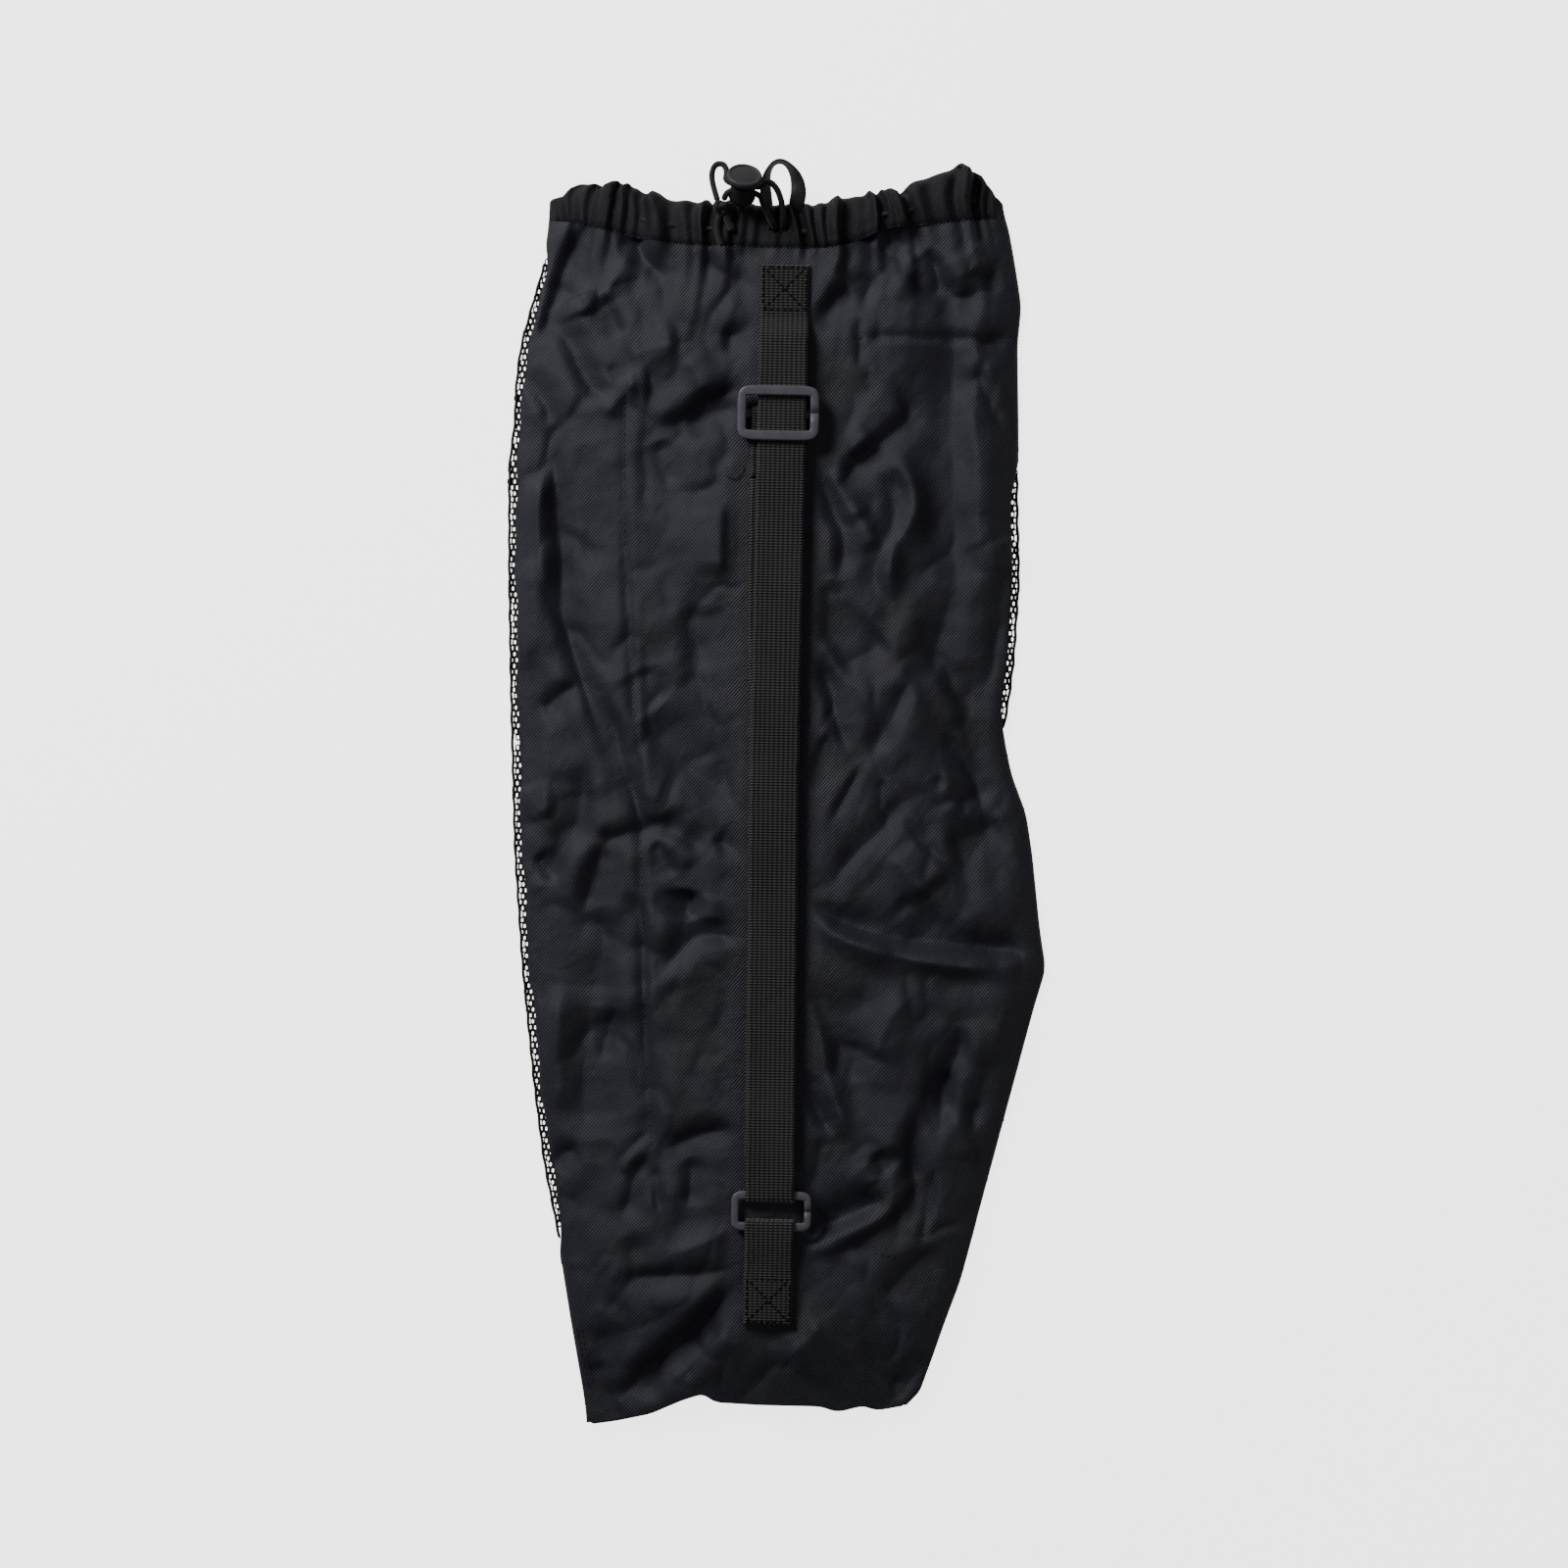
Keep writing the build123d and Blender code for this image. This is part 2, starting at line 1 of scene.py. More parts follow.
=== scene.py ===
"""Looks of a drawstring carry bag that lies flat and empty on its net back.

Every piece is in metres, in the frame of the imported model. Each sub-assembly is a class, its sizes
are fields, and each finish is a small frozen class that makes one material.
"""
import sys

import logging
import math
from dataclasses import dataclass, field
from enum import Enum
from typing import Callable, Sequence

import bmesh
import bpy
import numpy as np
from mathutils import Matrix, Vector, noise


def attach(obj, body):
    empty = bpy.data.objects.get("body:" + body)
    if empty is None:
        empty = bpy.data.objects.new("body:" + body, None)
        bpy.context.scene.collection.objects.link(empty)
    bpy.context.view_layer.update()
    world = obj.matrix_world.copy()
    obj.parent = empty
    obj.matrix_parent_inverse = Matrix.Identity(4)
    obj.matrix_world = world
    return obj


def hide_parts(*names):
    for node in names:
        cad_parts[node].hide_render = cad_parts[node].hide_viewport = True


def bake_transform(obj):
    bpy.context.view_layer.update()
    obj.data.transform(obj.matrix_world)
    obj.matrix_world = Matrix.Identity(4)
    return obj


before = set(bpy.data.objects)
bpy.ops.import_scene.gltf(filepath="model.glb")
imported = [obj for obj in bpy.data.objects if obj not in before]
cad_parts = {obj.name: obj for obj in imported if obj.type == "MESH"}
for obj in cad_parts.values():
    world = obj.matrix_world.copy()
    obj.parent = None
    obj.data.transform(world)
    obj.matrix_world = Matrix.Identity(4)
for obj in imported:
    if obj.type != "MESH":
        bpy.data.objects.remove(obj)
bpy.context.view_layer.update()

MM = 0.001
Point = tuple[float, ...]
Place = Callable[[np.ndarray, np.ndarray], tuple[np.ndarray, np.ndarray]]
log = logging.getLogger("bag")

# Lengths of the cords, in metres.
NEAR_LENGTH = 0.0439
FAR_LENGTH = 0.0851

# Lamps in watts, and strengths of the sky and of the floor's glow.
KEY_POWER = 34.0
FILL_POWER = 4.2
SKY_STRENGTH = 0.07
FLOOR_GLOW = 3.0

WAVE_UNIT = math.pi / 10           # a wave texture of scale 1 repeats at this length
MERGE = 1e-6                       # vertices closer than this are one


# ---------------------------------------------------------------- tools for meshes

def seat(obj: bpy.types.Object, body: str, finish: bpy.types.Material,
         stands_for: Sequence[str] = ()) -> bpy.types.Object:
    """Rides a finished piece on a body and dresses it.

    Args:
        obj: the piece, in place.
        body: the body it moves with.
        finish: its material.
        stands_for: CAD nodes that it replaces.

    Returns:
        The same piece.
    """
    dress(obj, finish, stands_for)
    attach(obj, body)
    log.info("%s rides on %s", obj.name, body)
    return obj


def dress(obj: bpy.types.Object, finish: bpy.types.Material,
          stands_for: Sequence[str] = ()) -> None:
    """Gives a piece its material, and hides the CAD nodes that it stands for.

    Args:
        obj: the piece.
        finish: its material.
        stands_for: CAD nodes that it replaces.
    """
    obj.data.materials.clear()
    obj.data.materials.append(finish)
    if stands_for:
        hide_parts(*stands_for)


def piece_from(bm: bmesh.types.BMesh, name: str, smooth: bool = True) -> bpy.types.Object:
    """Turns a bmesh into a linked object at the origin.

    Args:
        bm: the finished bmesh, which is freed.
        name: the piece's name.
        smooth: whether its faces are shaded smooth.

    Returns:
        The new object.
    """
    mesh = bpy.data.meshes.new(name)
    bm.to_mesh(mesh)
    bm.free()
    if smooth:
        mesh.shade_smooth()
    else:
        mesh.shade_flat()
    obj = bpy.data.objects.new(name, mesh)
    bpy.context.scene.collection.objects.link(obj)
    return obj


def sheet_piece(name: str, columns: int, rows: int, place: Place, closed: bool = False,
                keep: Callable[[np.ndarray], np.ndarray] | None = None) -> bpy.types.Object:
    """A grid whose points are put in place by a function of their two shares.

    Args:
        name: the piece's name.
        columns: faces along the first share.
        rows: faces along the second share.
        place: gives points and UVs, in metres, from arrays of both shares.
        closed: whether edges that meet are merged, as on a tube.
        keep: tells from face centres which faces stay.

    Returns:
        The new object, with a UV map named "cloth".
    """
    bm = bmesh.new()
    bmesh.ops.create_grid(bm, x_segments=columns, y_segments=rows, size=0.5)
    start = np.array([v.co for v in bm.verts])
    points, uvs = place(np.clip(start[:, 0] + 0.5, 0, 1), np.clip(start[:, 1] + 0.5, 0, 1))
    layer = bm.loops.layers.uv.new("cloth")
    for vert, point in zip(bm.verts, points.tolist()):
        vert.co = point
    flat = uvs.tolist()
    for face in bm.faces:
        for corner in face.loops:
            corner[layer].uv = flat[corner.vert.index]
    if keep is not None:
        centres = np.array([f.calc_center_median() for f in bm.faces])
        spare = [f for f, stays in zip(bm.faces[:], keep(centres)) if not stays]
        bmesh.ops.delete(bm, geom=spare, context="FACES")
    if closed:
        bmesh.ops.remove_doubles(bm, verts=bm.verts, dist=MERGE)
        open_edges = [e for e in bm.edges if e.is_boundary]
        bmesh.ops.holes_fill(bm, edges=open_edges, sides=0)
        bmesh.ops.recalc_face_normals(bm, faces=bm.faces)
    return piece_from(bm, name)


def thicken(obj: bpy.types.Object, thickness: float) -> None:
    """Gives a sheet its real thickness, half of it to each side.

    Args:
        obj: the sheet.
        thickness: in metres.
    """
    wall = obj.modifiers.new("wall", "SOLIDIFY")
    wall.thickness = thickness
    wall.offset = 0.0
    wall.use_even_offset = False


def smoothed(knots: Sequence[Point], at: np.ndarray, reach: float) -> np.ndarray:
    """Reads a line of (place, value) knots with its corners rounded over `reach`."""
    xs, ys = np.array(knots, float).T
    return sum(np.interp(at + d, xs, ys) for d in np.linspace(-reach, reach, 7)) / 7


def ease(value: np.ndarray, low: float, high: float) -> np.ndarray:
    """Rises smoothly from 0 at `low` to 1 at `high`."""
    share = np.clip((value - low) / (high - low), 0, 1)
    return share * share * (3 - 2 * share)


def rough(x: np.ndarray, y: np.ndarray, size: float, seed: float) -> np.ndarray:
    """Even noise from about -1 to 1 over the plane, with lumps of about `size` metres."""
    return np.array([noise.fractal(Vector((a / size, b / size, seed)), 0.9, 2.0, 3)
                     for a, b in zip(x.tolist(), y.tolist())])


def nurbs_line(points: Sequence[Point], name: str, resolution: int = 24) -> np.ndarray:
    """Points along the smooth line of a cord's route.

    Args:
        points: the route's control points, in metres.
        name: for the curve that is read and removed.
        resolution: points to a span.

    Returns:
        An array of points.
    """
    curve = bpy.data.curves.new(name, "CURVE")
    curve.dimensions = "3D"
    spline = curve.splines.new("NURBS")
    spline.points.add(len(points) - 1)
    for knot, point in zip(spline.points, points):
        knot.co = (*point, 1)
    spline.order_u = 3
    spline.use_endpoint_u = True
    spline.resolution_u = resolution
    holder = bpy.data.objects.new(name, curve)
    bpy.context.scene.collection.objects.link(holder)
    bpy.context.view_layer.update()
    mesh = bpy.data.meshes.new_from_object(holder)
    line = np.array([v.co for v in mesh.vertices])
    bpy.data.objects.remove(holder)
    bpy.data.meshes.remove(mesh)
    return line


def evenly(line: np.ndarray, step: float) -> np.ndarray:
    """Spaces a line's points evenly.

    Args:
        line: an array of points.
        step: about how far apart they come to lie, in metres.

    Returns:
        The same line with new points.
    """
    runs = np.linalg.norm(np.diff(line, axis=0), axis=1)
    along = np.concatenate([[0], np.cumsum(runs)])
    count = max(3, int(round(along[-1] / step)))
    at = np.linspace(0, along[-1], count + 1)
    return np.stack([np.interp(at, along, line[:, k]) for k in range(3)], axis=1)


def frames_along(line: np.ndarray) -> tuple[np.ndarray, np.ndarray]:
    """Two directions square to a line at each of its points, without twist.

    Args:
        line: an array of points.

    Returns:
        Both directions, as arrays of unit vectors.
    """
    heading = np.gradient(line, axis=0)
    heading /= np.linalg.norm(heading, axis=1)[:, None]
    side = np.cross(heading[0], (0.0, 0.0, 1.0))
    if np.linalg.norm(side) < 1e-3:
        side = np.cross(heading[0], (0.0, 1.0, 0.0))
    sides = []
    for now in heading:
        side = side - now * float(side @ now)
        side = side / np.linalg.norm(side)
        sides.append(side)
    sides = np.array(sides)
    return sides, np.cross(heading, sides)


def tube_piece(name: str, line: np.ndarray, radius: float, around: int = 16,
               braid: float = 0.0, lay: float = 0.0026, blunt: bool = True) -> bpy.types.Object:
    """A round cord or wire along a line.

    Args:
        name: the piece's name.
        line: its centreline, evenly spaced.
        radius: in metres.
        around: faces round it.
        braid: height of the plaited strands, as a share of the radius.
        lay: length over which the plait repeats.
        blunt: whether its two ends are rounded over.

    Returns:
        The new object, with UVs along and round it in metres.
    """
    side, up = frames_along(line)
    count = len(line) - 1
    step = float(np.linalg.norm(np.diff(line, axis=0), axis=1).mean())

    def place(u: np.ndarray, v: np.ndarray) -> tuple[np.ndarray, np.ndarray]:
        """Points and UVs of the tube."""
        row = np.rint(u * count).astype(int)
        turn = 2 * np.pi * v
        along = row * step
        plait = (np.cos(6 * np.pi * along / lay + 3 * turn) *
                 np.cos(6 * np.pi * along / lay - 3 * turn))
        reach = radius * (1 + braid * (plait - 0.5))
        if blunt:
            end = np.minimum(row, count - row) * step
            reach = reach * np.sqrt(np.clip(1 - (1 - np.clip(end / radius, 0, 1)) ** 2, 0.12, 1))
        points = (line[row] + side[row] * (reach * np.cos(turn))[:, None] +
                  up[row] * (reach * np.sin(turn))[:, None])
        return points, np.stack([along, v * 2 * np.pi * radius], axis=1)

    return sheet_piece(name, count, around, place, closed=True)


# ---------------------------------------------------------------- finishes

class Graph:
    """Adds nodes to a tree and joins them."""

    def __init__(self, tree: bpy.types.NodeTree) -> None:
        """Keeps the tree that it adds to."""
        self.tree = tree

    def put(self, socket: bpy.types.NodeSocket, value: object) -> None:
        """Links a socket to an input, or sets the input to a value.

        Args:
            socket: the input.
            value: an output socket or a plain value.
        """
        if isinstance(value, bpy.types.NodeSocket):
            self.tree.links.new(value, socket)
        else:
            socket.default_value = value

    def node(self, kind: str, inputs: dict[str, object] | None = None,
             **settings: object) -> bpy.types.Node:
        """Adds a node.

        Args:
            kind: its type.
            inputs: sockets or values for its inputs, by name.
            **settings: its own properties.

        Returns:
            The new node.
        """
        made = self.tree.nodes.new(kind)
        for key, value in settings.items():
            setattr(made, key, value)
        for key, value in (inputs or {}).items():
            self.put(made.inputs[key], value)
        return made

    def math(self, operation: str, first: object, second: object = 0.0) -> bpy.types.NodeSocket:
        """The result of a math node.

        Args:
            operation: what it works out.
            first: its first input.
            second: its second input.

        Returns:
            Its output.
        """
        made = self.node("ShaderNodeMath", operation=operation)
        self.put(made.inputs[0], first)
        self.put(made.inputs[1], second)
        return made.outputs[0]

    def between(self, share: object, first: object, second: object) -> bpy.types.NodeSocket:
        """A colour between two others.

        Args:
            share: 0 gives the first and 1 the second.
            first: a colour.
            second: a colour.

        Returns:
            The output with the mixed colour.
        """
        made = self.node("ShaderNodeMix", data_type="RGBA")
        for index, value in ((0, share), (6, first), (7, second)):
            self.put(made.inputs[index], value)
        return made.outputs[2]

    def spread(self, value: object, low: float, high: float) -> bpy.types.NodeSocket:
        """A share from 0 to 1 spread between two values."""
        made = self.node("ShaderNodeMapRange", {"Value": value, "To Min": low, "To Max": high})
        return made.outputs[0]


def shader_group(name: str, inputs: dict[str, float | None], outputs: Sequence[str]) -> tuple[
        bpy.types.NodeTree, Graph, bpy.types.Node, bpy.types.Node]:
    """An empty shader node group with its sockets.

    Args:
        name: of the group.
        inputs: each input's start value, or None for a vector.
        outputs: names of the float outputs.

    Returns:
        The tree, a graph on it, and its input and output nodes.
    """
    tree = bpy.data.node_groups.new(name, "ShaderNodeTree")
    for key, value in inputs.items():
        kind = "NodeSocketVector" if value is None else "NodeSocketFloat"
        socket = tree.interface.new_socket(key, in_out="INPUT", socket_type=kind)
        if value is not None:
            socket.default_value = value
    for key in outputs:
        tree.interface.new_socket(key, in_out="OUTPUT", socket_type="NodeSocketFloat")
    graph = Graph(tree)
    return tree, graph, graph.node("NodeGroupInput"), graph.node("NodeGroupOutput")


def twill_weave() -> bpy.types.NodeTree:
    """Slanting ribs crossed by fine yarns: their height, and a tone for the colour.

    Returns:
        The node group.
    """
    tree, g, given, out = shader_group(
        "twill_weave", {"Vector": None, "Pitch": 0.0011, "Slant": 0.7}, ("Height", "Tone"))
    scale = g.math("DIVIDE", WAVE_UNIT, given.outputs["Pitch"])
    turned = g.node("ShaderNodeVectorRotate", {"Vector": given.outputs["Vector"],
                                               "Angle": given.outputs["Slant"]}, rotation_type="Z_AXIS")
    ribs = g.node("ShaderNodeTexWave", {"Vector": turned.outputs[0], "Scale": scale, "Distortion": 1.1,
                                        "Detail": 2.0, "Detail Scale": 0.6}, bands_direction="X")
    yarns = g.node("ShaderNodeTexWave", {"Vector": turned.outputs[0], "Scale": g.math("MULTIPLY", scale, 1.6),
                                         "Distortion": 1.6, "Detail": 1.0}, bands_direction="Y")
    fuzz = g.node("ShaderNodeTexNoise", {"Vector": given.outputs["Vector"], "Scale": 1400.0, "Detail": 3.0})
    woven = g.math("MULTIPLY", ribs.outputs["Fac"], g.spread(yarns.outputs["Fac"], 0.6, 1.0))
    height = g.math("ADD", woven, g.math("MULTIPLY", fuzz.outputs["Fac"], 0.25))
    tone = g.math("ADD", g.math("MULTIPLY", woven, 1.0), g.math("MULTIPLY", fuzz.outputs["Fac"], 0.7))
    tone = g.math("SUBTRACT", tone, 0.28)
    g.put(out.inputs["Height"], height)
    g.put(out.inputs["Tone"], tone)
    return tree


def webbing_weave() -> bpy.types.NodeTree:
    """Rows of short floats in columns, as heavy webbing has: height and tone.

    Returns:
        The node group.
    """
    tree, g, given, out = shader_group(
        "webbing_weave", {"Vector": None, "Row": 0.00142, "Column": 0.00246}, ("Height", "Tone"))
    rows = g.node("ShaderNodeTexWave", {"Vector": given.outputs["Vector"], "Distortion": 0.25, "Detail": 1.0,
                                        "Scale": g.math("DIVIDE", WAVE_UNIT, given.outputs["Row"])},
                  bands_direction="Y")
    columns = g.node("ShaderNodeTexWave", {"Vector": given.outputs["Vector"], "Distortion": 0.2,
                                           "Scale": g.math("DIVIDE", WAVE_UNIT, given.outputs["Column"])},
                     bands_direction="X")
    fuzz = g.node("ShaderNodeTexNoise", {"Vector": given.outputs["Vector"], "Scale": 1100.0, "Detail": 3.0})
    floats = g.math("MULTIPLY", rows.outputs["Fac"], g.spread(columns.outputs["Fac"], 0.35, 1.0))
    g.put(out.inputs["Height"], g.math("ADD", floats, g.math("MULTIPLY", fuzz.outputs["Fac"], 0.2)))
    g.put(out.inputs["Tone"], g.math("ADD", g.math("POWER", floats, 1.6),
                                     g.math("MULTIPLY", fuzz.outputs["Fac"], 0.12)))
    return tree


def plait() -> bpy.types.NodeTree:
    """Strands that cross round a cord, from UVs along and round it: height and tone.

    Returns:
        The node group.
    """
    tree, g, given, out = shader_group("plait", {"Vector": None, "Lay": 0.0026}, ("Height", "Tone"))
    scale = g.math("DIVIDE", WAVE_UNIT, given.outputs["Lay"])
    ways = []
    lean = math.radians(52)
    for slant in (lean, -lean):
        turned = g.node("ShaderNodeVectorRotate", {"Vector": given.outputs["Vector"], "Angle": slant},
                        rotation_type="Z_AXIS")
        wave = g.node("ShaderNodeTexWave", {"Vector": turned.outputs[0], "Distortion": 0.4,
                                            "Scale": g.math("MULTIPLY", scale, 3.0)}, bands_direction="X")
        ways.append(wave.outputs["Fac"])
    crossed = g.math("MULTIPLY", *ways)
    g.put(out.inputs["Height"], crossed)
    g.put(out.inputs["Tone"], g.math("ADD", g.math("MULTIPLY", crossed, 0.7), 0.15))
    return tree


def mottle() -> bpy.types.NodeTree:
    """Slow uneven change over a surface, from 0 to 1, with a finer grain in it.

    Returns:
        The node group.
    """
    tree, g, given, out = shader_group("mottle", {"Vector": None, "Scale": 25.0}, ("Value",))
    slow = g.node("ShaderNodeTexNoise", {"Vector": given.outputs["Vector"], "Scale": given.outputs["Scale"],
                                         "Detail": 6.0, "Roughness": 0.6})
    g.put(out.inputs["Value"], slow.outputs["Fac"])
    return tree


def colour(red: float, green: float, blue: float) -> Point:
    """A display colour from 0 to 255 as the linear one that a shader takes."""
    shares = [c / 255 for c in (red, green, blue)]
    return (*(((c + 0.055) / 1.055) ** 2.4 if c > 10 / 255 else c / 12.92 for c in shares), 1.0)


@dataclass(frozen=True)
class WovenFinish:
    """Cloth, webbing or cord: a weave group, two colours, sheen and relief."""

    name: str
    weave: str
    dark: Point
    light: Point
    pitch: dict[str, float]
    roughness: float = 0.7
    sheen: float = 0.2
    relief: float = 0.25
    depth: float = 0.0003
    rumple: float = 0.0
    specular: float = 0.4
    patches: float = 18.0              # scale of the slow change in tone

    def make(self) -> bpy.types.Material:
        """Builds the material from the piece's UV map.

        Returns:
            The material.
        """
        material = bpy.data.materials.new(self.name)
        material.use_nodes = True
        g = Graph(material.node_tree)
        shader = material.node_tree.nodes["Principled BSDF"]
        where = g.node("ShaderNodeUVMap", uv_map="cloth").outputs[0]
        woven = g.node("ShaderNodeGroup", {}, node_tree=bpy.data.node_groups[self.weave])
        g.put(woven.inputs["Vector"], where)
        for key, value in self.pitch.items():
            g.put(woven.inputs[key], value)
        patches = g.node("ShaderNodeGroup", {}, node_tree=bpy.data.node_groups["mottle"])
        g.put(patches.inputs["Vector"], where)
        patches.inputs["Scale"].default_value = self.patches
        tone = g.math("ADD", woven.outputs["Tone"], g.spread(patches.outputs["Value"], -0.22, 0.22))
        g.put(shader.inputs["Base Color"], g.between(tone, self.dark, self.light))
        g.put(shader.inputs["Roughness"],
              g.spread(patches.outputs["Value"], self.roughness - 0.08, self.roughness + 0.08))
        shader.inputs["Sheen Weight"].default_value = self.sheen
        shader.inputs["Sheen Roughness"].default_value = 0.4
        shader.inputs["Specular IOR Level"].default_value = self.specular
        normal = g.node("ShaderNodeBump", {"Height": woven.outputs["Height"], "Strength": self.relief,
                                           "Distance": self.depth}).outputs[0]
        if self.rumple:
            lumps = g.node("ShaderNodeTexNoise", {"Vector": where, "Scale": 90.0, "Detail": 4.0,
                                                  "Roughness": 0.55, "Distortion": 0.6})
            normal = g.node("ShaderNodeBump", {"Height": lumps.outputs["Fac"], "Strength": 0.6,
                                               "Distance": self.rumple, "Normal": normal}).outputs[0]
        g.put(shader.inputs["Normal"], normal)
        return material


@dataclass(frozen=True)
class MouldedFinish:
    """Moulded plastic or drawn wire, with a faint grain and scuffs, on Object coordinates."""

    name: str
    dark: Point
    light: Point
    roughness: float = 0.4
    metallic: float = 0.0
    grain: float = 900.0
    relief: float = 0.08
    specular: float = 0.5
    scuffs: float = 160.0              # scale of the change in tone

    def make(self) -> bpy.types.Material:
        """Builds the material from the piece's own coordinates.

        Returns:
            The material.
        """
        material = bpy.data.materials.new(self.name)
        material.use_nodes = True
        g = Graph(material.node_tree)
        shader = material.node_tree.nodes["Principled BSDF"]
        where = g.node("ShaderNodeTexCoord").outputs["Object"]
        scuffs = g.node("ShaderNodeGroup", {}, node_tree=bpy.data.node_groups["mottle"])
        g.put(scuffs.inputs["Vector"], where)
        scuffs.inputs["Scale"].default_value = self.scuffs
        grain = g.node("ShaderNodeTexNoise", {"Vector": where, "Scale": self.grain, "Detail": 2.0})
        g.put(shader.inputs["Base Color"], g.between(scuffs.outputs["Value"], self.dark, self.light))
        g.put(shader.inputs["Roughness"],
              g.spread(scuffs.outputs["Value"], self.roughness - 0.1, self.roughness + 0.12))
        shader.inputs["Metallic"].default_value = self.metallic
        shader.inputs["Specular IOR Level"].default_value = self.specular
        g.put(shader.inputs["Normal"], g.node("ShaderNodeBump", {
            "Height": grain.outputs["Fac"], "Strength": self.relief, "Distance": 0.0002}).outputs[0])
        return material


class Finishes:
    """All the bag's materials, each made once."""

    def __init__(self) -> None:
        """Builds the shared groups, then each material."""
        for group in (twill_weave, webbing_weave, plait, mottle):
            group()
        twill_pitch = {"Pitch": 0.0013, "Slant": math.radians(40)}
        self.twill = WovenFinish(
            "twill", "twill_weave", colour(3, 3, 6), colour(61, 62, 76), twill_pitch,
            roughness=0.57, sheen=0.05, relief=0.55, depth=0.0005, rumple=0.0011, specular=0.48).make()
        # The casing's twill is the front's cloth with darker colours: painted shade of the pleated mouth.
        self.shaded_twill = WovenFinish(
            "twill_painted_shade", "twill_weave", colour(2, 2, 4), colour(34, 35, 44), twill_pitch,
            roughness=0.6, sheen=0.04, relief=0.6, depth=0.0005, rumple=0.0014, specular=0.4).make()
        self.lining = WovenFinish(
            "lining", "twill_weave", colour(24, 24, 27), colour(50, 50, 55), {"Pitch": 0.0006, "Slant": 0.0},
            roughness=0.5, sheen=0.15, relief=0.15, depth=0.0001, rumple=0.0008).make()
        self.webbing = WovenFinish(
            "webbing", "webbing_weave", colour(3, 3, 3), colour(106, 99, 103),
            {"Row": 0.00142, "Column": 0.00246},
            roughness=0.7, sheen=0.2, relief=1.0, depth=0.0008).make()
        self.ribbon = WovenFinish(
            "ribbon", "webbing_weave", colour(14, 13, 15), colour(70, 66, 72),
            {"Row": 0.0007, "Column": 0.0009},
            roughness=0.5, sheen=0.1, relief=0.3, depth=0.0001).make()
        self.cord = WovenFinish(
            "cord", "plait", colour(4, 3, 3), colour(66, 56, 58), {"Lay": 0.0026},
            roughness=0.65, sheen=0.3, relief=0.5, depth=0.0002).make()
        self.slider_plastic = MouldedFinish(
            "slider_plastic", colour(86, 84, 94), colour(108, 106, 116), roughness=0.42).make()
        self.lock_plastic = MouldedFinish(
            "lock_plastic", colour(44, 42, 46), colour(60, 57, 62), roughness=0.5).make()
        self.barrel_plastic = MouldedFinish(
            "barrel_plastic", colour(16, 15, 17), colour(34, 33, 36), roughness=0.5).make()
        self.strap_thread = MouldedFinish(
            "strap_thread", colour(3, 3, 3), colour(14, 14, 15), roughness=0.7, grain=3000.0, relief=0.5,
            specular=0.2).make()
        self.net = MouldedFinish(
            "net_yarn", colour(16, 16, 18), colour(40, 40, 44), roughness=0.6, grain=2500.0,
            relief=0.5).make()
        self.thread = MouldedFinish(
            "thread", colour(18, 18, 20), colour(48, 48, 52), roughness=0.5, grain=3000.0, relief=0.5).make()
        self.steel = MouldedFinish(
            "spring_steel", colour(150, 150, 152), colour(190, 190, 192), roughness=0.3, metallic=1.0).make()


# ---------------------------------------------------------------- shape of the laid cloth

class Crease(Enum):
    """Kinds of fold in the cloth: height in metres, negative for a valley, and half width."""

    PIT = (-0.0070, 0.0080)
    STRONG = (-0.0050, 0.0068)
    PLAIN = (-0.0034, 0.0058)
    THIN = (-0.0017, 0.0025)
    SOFT = (-0.0030, 0.0110)
    BROAD = (-0.0052, 0.0160)
    RIDGE = (0.0030, 0.0062)
    ROLL = (0.0040, 0.0125)


# Two sewn lines of the front, in millimetres from the bag's middle, that crease the cloth as well.
POCKET_SIDE: list[Point] = [
    (-80.5, 204), (-80, 170), (-79, 130), (-76, 90), (-73, 47), (-70, 5), (-67, -46), (-64, -120),
    (-60, -184)]
POCKET_FOOT: list[Point] = [(85, -192), (84, -212), (80, -230)]

